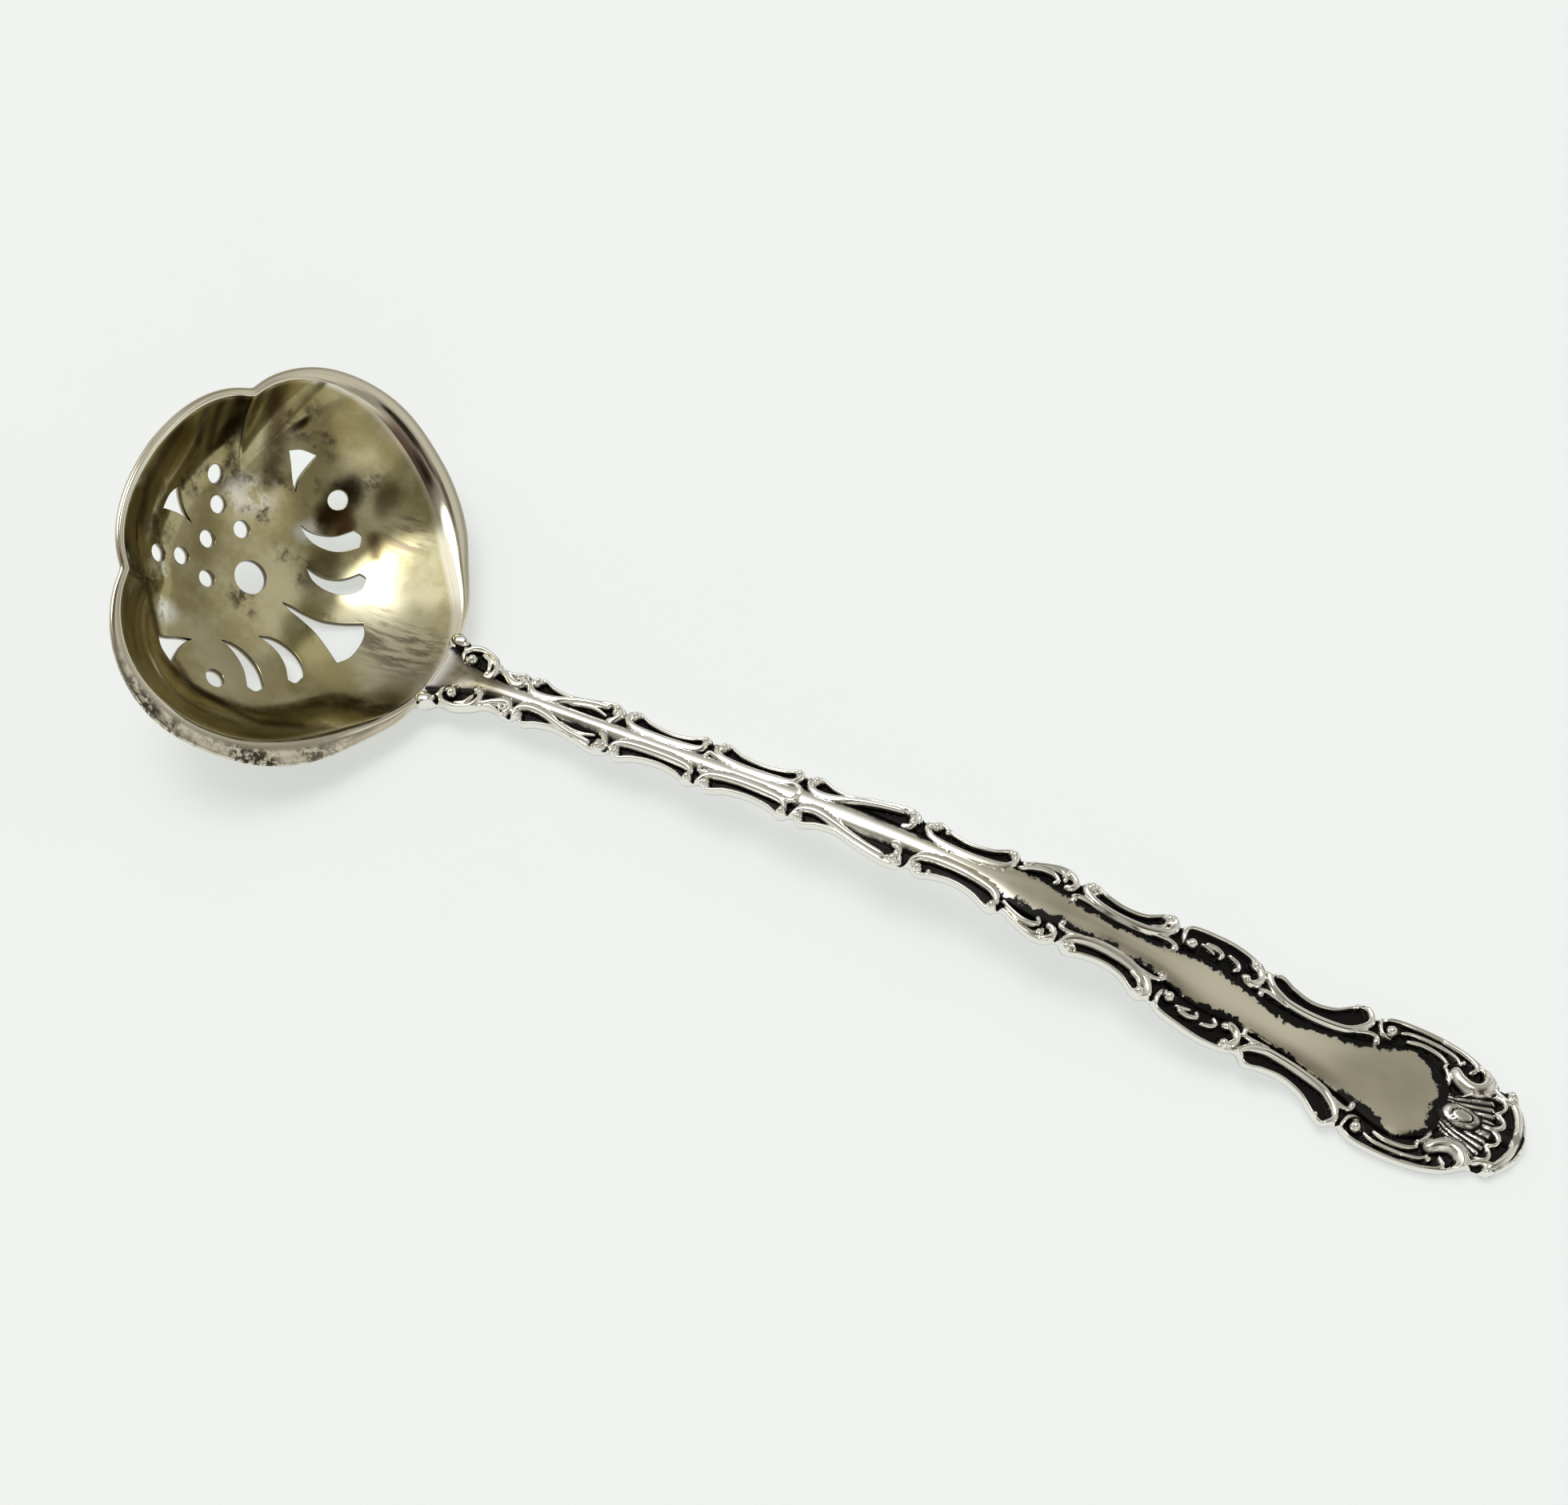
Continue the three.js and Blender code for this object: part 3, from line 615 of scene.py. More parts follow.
@dataclass
class BowlForm:
    """Shape of the bowl's inner surface and of its turned-out lip."""

    reach: float = 18.4
    front_rise: float = 8.3
    side_rise: float = 7.4
    back_rise: float = 11.0
    wall: float = 0.8
    dish_share: float = 0.72
    dish_power: float = 2.3
    notch_depth: float = 1.95
    notch_turn: float = 45.0
    notch_softness: float = 1.0
    notch_spreads: tuple[float, float] = (17.0, 12.0)
    lip_width: float = 2.6
    lip_lift: float = 1.0
    lip_thickness: float = 0.6
    reach_share: Track = Track((
        (0, 0.891), (45, 1), (75, 1.087), (110, 1.027), (140, 0.957), (165, 0.989), (180, 0.989)))
    back_climb: Track = Track((
        (92, 0), (118, 0.1), (140, 0.34), (152, 0.63), (165, 0.92), (180, 1)))
    front_fall: Track = Track(((0, 0), (45, 0.33), (92, 1)))
    lip_width_share: Track = Track((
        (0, 0.37), (55, 0.37), (72, 0.6), (90, 0.92), (105, 0.98), (130, 1), (142, 0.81), (150, 0.65),
        (158, 0.5), (164, 0.35), (180, 0.35)))
    lip_lift_share: Track = Track((
        (0, 0.1), (60, 0), (80, 0.25), (95, 0.7), (115, 0.8), (135, 1), (150, 0.7), (164, 0.3), (180, 0)))

    def notch(self, degrees: np.ndarray) -> np.ndarray:
        """Depth of the pinched notch at turns from the front.

        Args:
            degrees: turns to either side, without sign.

        Returns:
            Depths in the same order.
        """
        past = degrees - self.notch_turn
        spread = np.where(past < 0, *self.notch_spreads)
        away = np.sqrt(past**2 + self.notch_softness**2) - self.notch_softness
        return self.notch_depth * np.exp(-away / spread)

    def rim_reach(self, turn: np.ndarray) -> np.ndarray:
        """Distance of the rim's crease from the axis at each turn."""
        degrees = np.abs(turn)
        return self.reach * self.reach_share(degrees) - self.notch(degrees)

    def rim_rise(self, turn: np.ndarray) -> np.ndarray:
        """Height of the rim's crease.

        Args:
            turn: signed degrees from the front.

        Returns:
            Heights in the same order.
        """
        degrees = np.abs(turn)
        front = self.front_rise + (self.side_rise - self.front_rise) * self.front_fall(degrees)
        back = self.side_rise + (self.back_rise - self.side_rise) * self.back_climb(degrees)
        return np.where(degrees < self.back_climb.places[0], front, back)

    def plan_reach(self, share: np.ndarray, turn: np.ndarray) -> np.ndarray:
        """Distance from the axis at a share of the reach and a turn."""
        lobed = smoothstep(share, 0.3, 1.0)
        return share * (self.reach + (self.rim_reach(turn) - self.reach) * lobed)

    def inside(self, share: np.ndarray, turn: np.ndarray, steepness: float = WALL_STEEPNESS) -> np.ndarray:
        """Points of the inner surface.

        Args:
            share: shares of the reach.
            turn: signed degrees from the front.
            steepness: power with which the wall turns up.

        Returns:
            Array of places.
        """
        climb = (1 - self.dish_share) * np.abs(share) ** steepness
        section = self.dish_share * np.abs(share) ** self.dish_power + climb
        return around(turn, self.plan_reach(share, turn), self.rim_rise(turn) * section)

    def inward(self, share: np.ndarray, turn: np.ndarray, steepness: float = WALL_STEEPNESS) -> np.ndarray:
        """Unit normals of the inner surface that point into the hollow.

        Args:
            share: shares of the reach.
            turn: signed degrees from the front.
            steepness: power with which the wall turns up.

        Returns:
            Array of directions.
        """
        nearby, beside = 0.002, 0.2
        wrap = wrapped(turn)
        ahead, behind = (self.inside(share, wrapped(wrap + by), steepness) for by in (beside, -beside))
        upper, lower = (self.inside(share + by, wrap, steepness) for by in (nearby, -nearby))
        return unit(np.cross(ahead - behind, upper - lower))

    def offset(self, share: np.ndarray, turn: np.ndarray, distance: float) -> np.ndarray:
        """Points a set distance outside the inner surface."""
        return self.inside(share, turn) - self.inward(share, turn) * distance

    def locate(self, x: np.ndarray, y: np.ndarray) -> tuple[np.ndarray, np.ndarray]:
        """Share and turn of places seen in plan, found by halving.

        Args:
            x: places along X.
            y: places along Y.

        Returns:
            Shares of the reach and turns in degrees.
        """
        widest, halvings = 1.6, 40
        turn = np.degrees(np.arctan2(y, -x))
        wanted = np.hypot(x, y)
        low, high = np.zeros_like(wanted), np.full_like(wanted, widest)
        for _ in range(halvings):
            middle = (low + high) / 2
            short = self.plan_reach(middle, turn) < wanted
            low, high = np.where(short, middle, low), np.where(short, high, middle)
        return (low + high) / 2, turn

    def lip_direction(self, turn: np.ndarray) -> np.ndarray:
        """Level unit vectors in which the lip is turned out.

        Args:
            turn: signed degrees from the front.

        Returns:
            Array of directions.
        """
        near = (turn + 1, turn - 1)
        ahead, behind = (around(at, self.reach_share(np.abs(wrapped(at))), 0 * at) for at in near)
        along = ahead - behind
        return unit(np.stack([-along[..., 1], along[..., 0], along[..., 2]], axis=-1))


@dataclass
class Bowl:
    """The raised and pierced bowl with its notches and lip.

    Piercings and marks are given in hundredths of the bowl's reach, and a mark is a soft line between two
    places with a radius.
    """

    form: BowlForm = field(default_factory=BowlForm)
    turns: int = 360
    inner_rings: int = 50
    outer_rings: int = 40
    crease_round: float = 0.3
    crease_steps: tuple[float, ...] = (0.2, 0.4, 0.6, 0.8, 1.0)
    lip_steps: int = 7
    lip_round: float = 0.28
    lip_round_steps: int = 9
    lip_steepness: float = 2.6
    lip_swell: float = 0.05
    lip_foot: float = 0.72
    outer_start: float = 0.95
    shading_steepness: float = 5.0
    rear_steepness: float = 2.4
    saw_round: float = 0.07
    saw_overrun: float = 0.4
    centre_hole: float = 1.74
    small_hole: float = 0.88
    eye_hole: float = 0.98
    small_hole_shares: Pairs = ((-49.7, 29.1), (-38, 18.9), (-19.3, 18.1), (-31.5, 0))
    eye_hole_share: tuple[float, float] = (12.8, 65.5)
    front_leaf: Sequence[Pairs] = (
        ((-43.3, 0), (-50, 1.3), (-56, 4.2), (-62, 8.4)),
        ((-62, 8.4), (-63.6, 0), (-62, -8.4)),
        ((-62, -8.4), (-56, -4.2), (-50, -1.3), (-43.3, 0)))
    back_bell: Sequence[Pairs] = (
        ((21.7, 0), (27.7, 1.4), (35.3, 2.1), (44.6, 4.1), (53.3, 8.4), (62.2, 14.4)),
        ((62.2, 14.4), (65.8, 8.2), (66.8, 0), (65.8, -8.2), (62.2, -14.4)),
        ((62.2, -14.4), (53.3, -8.4), (44.6, -4.1), (35.3, -2.1), (27.7, -1.4), (21.7, 0)))
    side_leaf: Sequence[Pairs] = (
        ((-8, 54.3), (-10.9, 59.8), (-11.7, 67.4), (-11.4, 76.1)),
        ((-11.4, 76.1), (-20.1, 72.8), (-25.3, 67.9)),
        ((-25.3, 67.9), (-19.6, 63.6), (-13.6, 58.2), (-8, 54.3)))
    large_crescent: Sequence[Pairs] = (
        ((5.2, 42.4), (11.7, 42.9), (18.5, 45.4), (24.5, 49.7), (29.9, 57.5)),
        ((29.9, 57.5), (34.5, 57.2), (37, 52.7)),
        ((37, 52.7), (36.7, 50.5), (32.1, 44.6), (26.1, 40.8), (17.9, 38.9), (10.9, 39.7), (5.2, 42.4)))
    back_crescent: Sequence[Pairs] = (
        ((21.2, 25.8), (28.8, 25.8), (35.6, 27.7), (41.6, 32.1), (46.2, 39)),
        ((46.2, 39), (49.9, 38.6), (51.1, 34.8)),
        ((51.1, 34.8), (51.4, 31.5), (48.6, 26.4), (42.7, 22.3), (35.1, 20.7), (27.7, 21.7), (21.2, 25.8)))
    smudged: Marks = (
        (-20, 49, -28, 46, 15), (-13, 83, -10, 80, 9), (-36, 80, -28, 84, 12), (17, 21, 12, 26, 13),
        (-62, -12, -58, -20, 14), (-60, 14, -56, 22, 13), (0, -12, 6, -14, 10), (45, 2, 40, 6, 12),
        (-38, -55, -44, -48, 13), (-46, 40, -50, 30, 12), (-5, 62, -2, 58, 8), (-50, -28, -44, -30, 9),
        (-20, 26, -14, 34, 8), (20, 84, 24, 78, 7))
    clouded: Marks = (
        (-32, 32, -24, 40, 13), (-34, -54, -28, -52, 8), (10, 40, 12, 44, 7), (-48, -40, -44, -36, 7))
    rubbed: Marks = (
        (72, 10, 86, 4, 16), (86, 14, 92, 8, 13), (54, 66, 50, 70, 11), (58, 30, 64, 26, 8))
    # Streaks along the notch folds, the front wall and the near crease: tarnish, and partly painted dark
    # reflections
    streaks_and_painted_reflections: Marks = (
        (-56, 77, -42, 72, 9), (-42, 72, -30, 60, 9), (-30, 60, -24, 48, 7), (-84, 44, -70, 30, 3.5),
        (-78, 52, -62, 34, 3.5), (-84, 20, -80, -10, 4), (-80, -10, -70, -28, 3.5),
        (-46, -50, -26, -67, 2.6), (-26, -67, 4, -80, 2.6), (4, -80, 43, -76, 2.6), (43, -76, 60, -66, 3),
        (40, 60, 47, 52, 4))
    # Painted shade: areas of the hollow that get the darker tone
    deep: Marks = (
        (-60, 26, -54, -30, 40), (-78, 30, -76, -30, 36), (-60, -50, -20, -80, 26), (-34, 84, -14, 92, 18),
        (10, -88, 60, -70, 16))
    # Painted highlight: where the paler film lies, beside the window's highlight on the rear wall
    lightened: Marks = ((60, 30, 78, 6, 22), (80, 2, 92, -14, 16))

    def marked(self, spots: np.ndarray, marks: Marks) -> np.ndarray:
        """Strength of soft marks at places in plan.

        Args:
            spots: places of the bowl's points.
            marks: both ends and the radius of each mark, in hundredths of the reach.

        Returns:
            Shares from 0 to 1.
        """
        core, fringe = 0.2, 1.3
        strength = np.zeros(len(spots))
        places = spots[:, :2] * HUNDRED / self.form.reach
        for *ends, radius in marks:
            start, end = np.array(ends[:2], float), np.array(ends[2:], float)
            along = np.clip((places - start) @ (end - start) / ((end - start) @ (end - start)), 0, 1)
            away = np.linalg.norm(places - start - along[:, None] * (end - start), axis=1)
            strength = np.maximum(strength, 1 - smoothstep(away, core * radius, fringe * radius))
        return strength

    def saw_profile(self) -> Pairs:
        """Edge of a sawn hole, rounded at both faces.

        Returns:
            Pairs of growth and depth below the inner surface.
        """
        soft, wall, cut_back = self.saw_round, self.form.wall, 0.293
        bevel = cut_back * soft
        upper = [(soft, 0), (bevel, bevel), (0, soft)]
        return [*upper, (0, wall / 2), *((growth, wall - depth) for growth, depth in reversed(upper))]

    def lip_rings(self, turn: np.ndarray, crease: np.ndarray, down: np.ndarray) -> list[np.ndarray]:
        """Rings that bend out of the rim's crease, over the lip's top, round its edge and back under it.

        Args:
            turn: turn of each place.
            crease: places of the sharp crease.
            down: unit directions from the crease down the inner wall.

        Returns:
            The rings in order.
        """
        form, slack, tuck, under_steps = self.form, 0.05, 0.02, (0.35, 0.7, 1.0)
        outward, upright = form.lip_direction(turn), np.array([0.0, 0.0, 1.0])
        width = form.lip_width * form.lip_width_share(np.abs(turn))
        lift = form.lip_lift * form.lip_lift_share(np.abs(turn))
        slope = unit(outward * width[:, None] + upright * (self.lip_steepness * lift)[:, None])
        bends = [down * (1 - share) ** 2 + slope * share**2 for share in self.crease_steps]
        found = [crease + bend * self.crease_round for bend in bends]
        start = found[-1]
        tip = crease + outward * (width - self.lip_round)[:, None] + upright * lift[:, None]
        for share in np.linspace(0, 1, self.lip_steps + 1)[1:]:
            climb = 1 - (1 - share) ** self.lip_steepness - share
            swell = (climb * lift + self.lip_swell * math.sin(math.pi * share))[:, None]
            found.append(start * (1 - share) + tip * share + upright * swell)
        for angle in np.radians(np.linspace(0, HALF_TURN, self.lip_round_steps + 1)[1:]):
            drop = form.lip_thickness / 2 * (1 - math.cos(angle))
            found.append(tip + outward * self.lip_round * math.sin(angle) - upright * drop)
        edge = found[-1]
        under = np.minimum(self.lip_foot, width - self.lip_round - slack)
        corner = crease + outward * under[:, None] - upright * (form.lip_thickness - tuck)
        return found + [edge * (1 - share) + corner * share for share in under_steps]

    def rings(self) -> np.ndarray:
        """Rings of the whole skin, from the centre hole over the lip and back under it.

        Returns:
            Array of rings, turns, X, Y, Z.
        """
        form, bunching, drop = self.form, 0.85, 0.01
        turn = -HALF_TURN + np.arange(self.turns) * 2 * HALF_TURN / self.turns
        ones = np.ones_like(turn)
        start = (self.centre_hole + self.saw_round) / form.reach
        crease = form.inside(ones, turn)
        down = form.inside((1 - drop) * ones, turn) - crease
        last = 1 - self.crease_round / (np.linalg.norm(down, axis=-1) / drop)
        shares = np.linspace(0, 1, self.inner_rings) ** bunching
        found = [form.inside(start + (last - start) * share, turn) for share in shares]
        found += self.lip_rings(turn, crease, unit(down))
        for share in np.linspace(0, 1, self.outer_rings):
            reach = self.outer_start * ones + (start - self.outer_start) * share
            found.append(form.offset(reach, turn, form.wall))
        floor = form.inside(ones * start, turn)[:, 2]
        for growth, depth in self.saw_profile()[-2:0:-1]:
            found.append(around(turn, self.centre_hole + growth, floor - depth))
        return np.array(found)

    def cutter(self, outline: np.ndarray) -> Piece:
        """The saw's path round one piercing as a solid that follows the bowl, flared at both faces.

        Args:
            outline: closed outline in plan, without its last point doubled.

        Returns:
            The cutter.
        """
        sharpest, least_lean, margin = 1.6, 0.1, 0.02
        coming, following = np.roll(outline, 1, axis=0), np.roll(outline, -1, axis=0)
        before, after = unit(outline - coming), unit(following - outline)
        area = np.sum(outline[:, 0] * following[:, 1] - following[:, 0] * outline[:, 1])
        quarter = np.array([1.0, -1.0]) * np.sign(area)
        square = (before + after)[:, ::-1] * quarter
        square /= np.maximum(np.linalg.norm(square, axis=1, keepdims=True), SAME_PLACE)
        lean = np.einsum("ij,ij->i", square, after[:, ::-1] * quarter)
        square *= np.minimum(1 / np.maximum(lean, least_lean), sharpest)[:, None]
        flare, past = self.saw_round + margin, self.form.wall + self.saw_overrun
        rings = []
        for growth, depth in [(flare, -self.saw_overrun), *self.saw_profile(), (flare, past)]:
            grown = outline + square * growth
            rings.append(self.form.offset(*self.form.locate(grown[:, 0], grown[:, 1]), depth))
        return Workshop.loft("saw_cut", np.array(rings))

    def outlines(self) -> list[np.ndarray]:
        """Outlines of all the piercings but the centre one, in plan.

        Returns:
            Closed outlines without their last point doubled.
        """
        steps, corner_turn = 7, 9
        scale, mirror = self.form.reach / HUNDRED, np.array([1.0, -1.0])
        found = []
        middle_ones = (self.front_leaf, self.back_bell)
        for shape in (*middle_ones, self.side_leaf, self.large_crescent, self.back_crescent):
            edge = np.vstack([through(part, steps)[:-1] for part in shape]) * scale
            found += [edge] if shape in middle_ones else [edge, edge * mirror]
        circle = np.radians(np.arange(0, 2 * HALF_TURN, corner_turn))
        ring = np.stack([np.cos(circle), np.sin(circle)], axis=-1)
        holes = [(place, self.small_hole) for place in self.small_hole_shares]
        holes.append((self.eye_hole_share, self.eye_hole))
        for place, radius in holes:
            middle = np.array(place) * scale
            found.append(middle + radius * ring)
            if place[1]:
                found.append(middle * mirror + radius * ring)
        return found

    def layers(self, spots: np.ndarray) -> dict[str, np.ndarray]:
        """Attributes of the bowl's points that its finish reads.

        Args:
            spots: places of the points.

        Returns:
            Values by name.
        """
        form, skin, crease_drop = self.form, 0.06, 0.35
        hollow_end, sawn_end, shade_start = 0.985, 0.9, -0.05
        share, turn = form.locate(spots[:, 0], spots[:, 1])
        past = np.hypot(spots[:, 0], spots[:, 1]) - form.rim_reach(turn)
        across = past / (form.lip_width * form.lip_width_share(np.abs(turn)))
        above = spots[:, 2] > form.rim_rise(turn) - crease_drop
        depth = form.inside(share, turn)[:, 2] - spots[:, 2]
        hollow = (share < hollow_end) & (depth < skin)
        near_side = smoothstep(-turn, 60, 85) * smoothstep(turn, -150, -125)
        # Painted dark reflection: a dark wedge on the inner part of the far lip
        painted_reflection_wedge = smoothstep(turn, 84, 97) * (1 - smoothstep(turn, 112, 124))
        painted_reflection_wedge *= 1 - smoothstep(across, 0.12, 0.42)
        found = {
            "hollow": hollow,
            "spotted": near_side * smoothstep(across, 0.25, 0.6) * above,
            "sawn": (share < sawn_end) & (depth > skin) & (depth < form.wall - skin),
            "painted_dark_reflection": painted_reflection_wedge * above * (across > shade_start)}
        # Marks: stains and wear, and among them painted shade, a painted highlight and painted dark reflections
        for label in ("smudged", "clouded", "rubbed", "streaks_and_painted_reflections", "deep", "lightened"):
            found[label] = self.marked(spots, getattr(self, label)) * hollow
        return found

    def shading(self, spots: np.ndarray) -> np.ndarray:
        """Normals that even out the light in the hollow, and zeros where the mesh keeps its own.

        Args:
            spots: places of the points.

        Returns:
            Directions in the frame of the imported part.
        """
        form, near = self.form, 0.02
        share, turn = form.locate(spots[:, 0], spots[:, 1])
        inner = (np.abs(spots[:, 2] - form.inside(share, turn)[:, 2]) < near) & (share < 1.0)
        rearward = (smoothstep(turn, 100, 135) + smoothstep(-turn, 138, 160))[:, None]
        side = form.inward(share, turn, self.shading_steepness)
        rear = form.inward(share, turn, self.rear_steepness)
        return REST.turned(unit(side * (1 - rearward) + rear * rearward)) * inner[:, None]

    def build(self) -> Piece:
        """Models, pierces and dresses the bowl.

        Returns:
            The finished bowl.
        """
        piece = Workshop.loft("pierced_bowl", self.rings(), looped=True)
        Workshop.cut(piece, [self.cutter(outline) for outline in self.outlines()])
        mesh, spots = piece.data, Workshop.places(piece)
        mesh.vertices.foreach_set("co", REST.metres(spots).astype(np.float32).ravel())
        for label, values in self.layers(spots).items():
            mesh.attributes.new(label, "FLOAT", "POINT").data.foreach_set("value", values.astype(np.float32))
        Workshop.alone(piece)
        bpy.ops.object.shade_smooth()
        mesh.normals_split_custom_set_from_vertices([tuple(n) for n in self.shading(spots)])
        Workshop.finish(piece, BowlSilver().material(), Slot.BOWL, "bowl")
        return piece


# Middle of the shell's fan and the millimetres of one hundredth along and across
FAN_START, FAN_STEP, FAN_WIDTH = 89.5, 1.143, 0.07


def fan(reach: float, turn: float) -> tuple[float, float]:
    """Place on the handle, in hundredths, at millimetres from the fan's middle and degrees from the axis."""
    angle = math.radians(turn)
    return FAN_START + reach * math.cos(angle) / FAN_STEP, reach * math.sin(angle) / FAN_WIDTH


# One scallop between two flutes: millimetres from the fan's middle and degrees aside
SCALLOP: Pairs = [(9.1, -5.2), (9.7, -3), (9.95, 0), (9.7, 3), (9.1, 5.2)]


@dataclass(frozen=True)
class Strand:
    """One raised strand of the border.

    Attributes:
        radius: half width of the strand at its middle.
        crest: height of its top over the handle's own surface.
        places: hundredths of the handle's length and of its half width that it runs through.
    """

    radius: float
    crest: float
    places: Pairs


class Ornament:
    """The struck relief: strands, beads and the shell, on one side and mirrored to the other."""

    strands: list[Strand] = [
        # Root
        Strand(0.30, 0.30, [(0.4, 53), (0.9, 51), (1.3, 43), (1.5, 33), (1.9, 26)]),
        Strand(0.42, 0.42, [(1.5, 42), (1.9, 49), (2.7, 52), (3.7, 49), (4.4, 42), (4.8, 30), (4.7, 18),
                            (4.3, 14)]),
        Strand(0.28, 0.15, [(3, 44), (3.7, 39), (4, 30), (4.1, 24)]),
        Strand(0.40, 0.38, [(5.2, 31), (6.1, 22), (6.9, 17), (7.5, 18), (7.7, 26), (7.5, 33)]),
        Strand(0.26, 0.12, [(5.2, 32), (6, 27), (6.6, 23), (6.9, 28)]),
        # First long scroll
        Strand(0.40, 0.40, [(8.3, 31), (8.3, 22), (8.7, 15), (9.6, 12), (10.8, 14), (12.2, 21), (13.6, 28),
                            (15.5, 32)]),
        Strand(0.24, 0.15, [(12.4, 17), (13.8, 22), (14.8, 22), (15.7, 18)]),
        Strand(0.38, 0.36, [(16.1, 35), (16.8, 31), (16.9, 24), (16.6, 16), (16.2, 12)]),
        # Second and third
        Strand(0.42, 0.42, [(17.7, 34), (17.7, 24), (18.2, 17), (19.3, 13), (21.7, 12), (23.8, 14),
                            (24.8, 19), (24.9, 30)]),
        Strand(0.42, 0.42, [(25.9, 32), (26.2, 22), (27, 15), (29, 11), (31.5, 12), (33.2, 16), (33.8, 28)]),
        Strand(0.26, 0.36, [(25.4, 10), (25.6, 16), (26.1, 15.5), (27.1, 11)]),
        Strand(0.26, 0.45, [(32.9, 12), (33.6, 14), (34.15, 10.5), (34.3, 4), (34.3, -1)]),
        # Fourth
        Strand(0.42, 0.42, [(34.6, 30), (34.9, 20), (35.7, 14), (36.7, 14), (38.1, 20), (39.6, 27),
                            (41.2, 33), (42.8, 37)]),
        Strand(0.38, 0.36, [(43.3, 38), (43.9, 33), (44.1, 26), (43.9, 19), (43.4, 17)]),
        Strand(0.26, 0.10, [(43.9, 43), (44.4, 38), (44.4, 30)]),
        # Fifth
        Strand(0.42, 0.42, [(45.3, 34), (45.4, 25), (46.1, 17), (47.4, 13), (49.2, 12), (51, 15), (52.4, 21),
                            (53, 32), (52.9, 41)]),
        Strand(0.38, 0.10, [(53.8, 40), (54.7, 47), (55.8, 52), (56.8, 53), (57.3, 48), (57.4, 42)]),
        Strand(0.30, 0.34, [(53.6, 29), (54.5, 36), (55.5, 41), (56.4, 41), (56.9, 35), (56.7, 30.5)]),
        Strand(0.38, 0.34, [(57.6, 54), (58.2, 48), (58.4, 41), (58.1, 34), (57.7, 32)]),
        # Sixth
        Strand(0.26, 0.30, [(58.7, 19), (58.6, 25), (59.1, 28), (60.0, 27), (61.2, 23)]),
        Strand(0.26, 0.30, [(65.0, 25), (66.0, 29), (67.2, 31), (67.9, 27), (67.8, 21)]),
        Strand(0.50, 0.46, [(59.2, 51), (59.4, 41), (60.2, 32), (61.6, 27), (63.2, 26), (65, 29), (66.4, 37),
                            (67.1, 48), (67.2, 58), (66.8, 66)]),
        Strand(0.22, 0.20, [(60.1, 42), (60.3, 45), (60.5, 48)]),
        Strand(0.28, 0.25, [(65.4, 38), (66.1, 43), (66.4, 50)]),
        # Scroll with teardrops
        Strand(0.32, 0.34, [(68.2, 62), (68.1, 54), (68.2, 46), (68.5, 39)]),
        Strand(0.20, 0.18, [(69.8, 51), (70.5, 49), (71, 46.5)]),
        Strand(0.28, 0.22, [(70.2, 55), (71, 56), (71.7, 51.5), (71.6, 45)]),
        Strand(0.28, 0.26, [(72.3, 56), (73.1, 52), (73.4, 46), (73.1, 40)]),
        Strand(0.44, 0.44, [(74.5, 67), (75.2, 59), (75.5, 50), (75.2, 40), (74.6, 36), (74.1, 40)]),
        # Seventh
        Strand(0.26, 0.30, [(75.8, 30), (75.9, 36.5), (76.4, 38), (77.2, 37), (78.4, 35)]),
        Strand(0.26, 0.28, [(83.4, 44), (84.4, 52), (85.3, 58.5), (86, 60), (86.4, 56), (86.35, 51.5)]),
        Strand(0.46, 0.44, [(75.9, 69), (76.1, 60), (76.7, 50), (77.6, 43.5), (78.6, 40), (80.8, 41),
                            (83.4, 48), (84.5, 58), (85.2, 70), (85.35, 82), (84.8, 93)]),
        # Large end scroll
        Strand(0.26, 0.34, [(86.1, 88), (86.15, 79), (86.4, 70), (86.8, 66.5), (87.3, 66)]),
        Strand(0.30, 0.10, [(91.5, 96), (93.2, 92), (94.4, 84), (94.7, 76), (94.3, 68)]),
        Strand(0.22, 0.16, [(87.9, 80), (88.7, 85.5), (90, 87), (91.6, 85.5), (92.8, 80.5), (93.3, 73)]),
        Strand(0.27, 0.16, [(88.7, 73), (89.6, 76.5), (90.6, 76.5), (91.6, 73), (92.3, 66.5)]),
        Strand(0.84, 0.60, [(93.2, 60), (93.8, 51), (94.7, 46), (95.5, 49), (96.0, 58), (96.1, 69),
                            (95.7, 79)]),
        Strand(0.24, 0.16, [(92.2, 60), (92.5, 55), (92.8, 47), (93.0, 40)]),
        # Shell
        *(Strand(0.25, 0.26, [fan(reach, turn + aside) for reach, aside in SCALLOP]) for turn in (5.5, 16.5)),
        Strand(0.42, 0.25, [(98.2, 52), (98.8, 40), (99.2, 26), (99.4, 12), (99.45, -2)]),
        Strand(0.32, 0.30, [(96.5, 60), (97, 53.5), (97.8, 49), (98.3, 47)]),
    ]
    # Where the units of the border meet and the rim dips
    cusps: tuple[float, ...] = (8.1, 17.3, 25.6, 34.5, 44.7, 53.6, 58.9, 67.6, 76.1, 85.8, 96.0)
    # Ovals: half length, half width, crest, place along, place across
    ovals: list[tuple[float, float, float, float, float]] = [
        (1.05, 0.74, 0.50, 0.45, 55), (1.9, 1.15, 0.44, 94.7, 0), (0.85, 0.5, 0.42, 94.8, 0),
        (0.66, 0.66, 0.58, 87.2, 77.5), (0.62, 0.62, 0.58, 69, 44), (0.62, 0.62, 0.55, 2.3, 31),
    ]
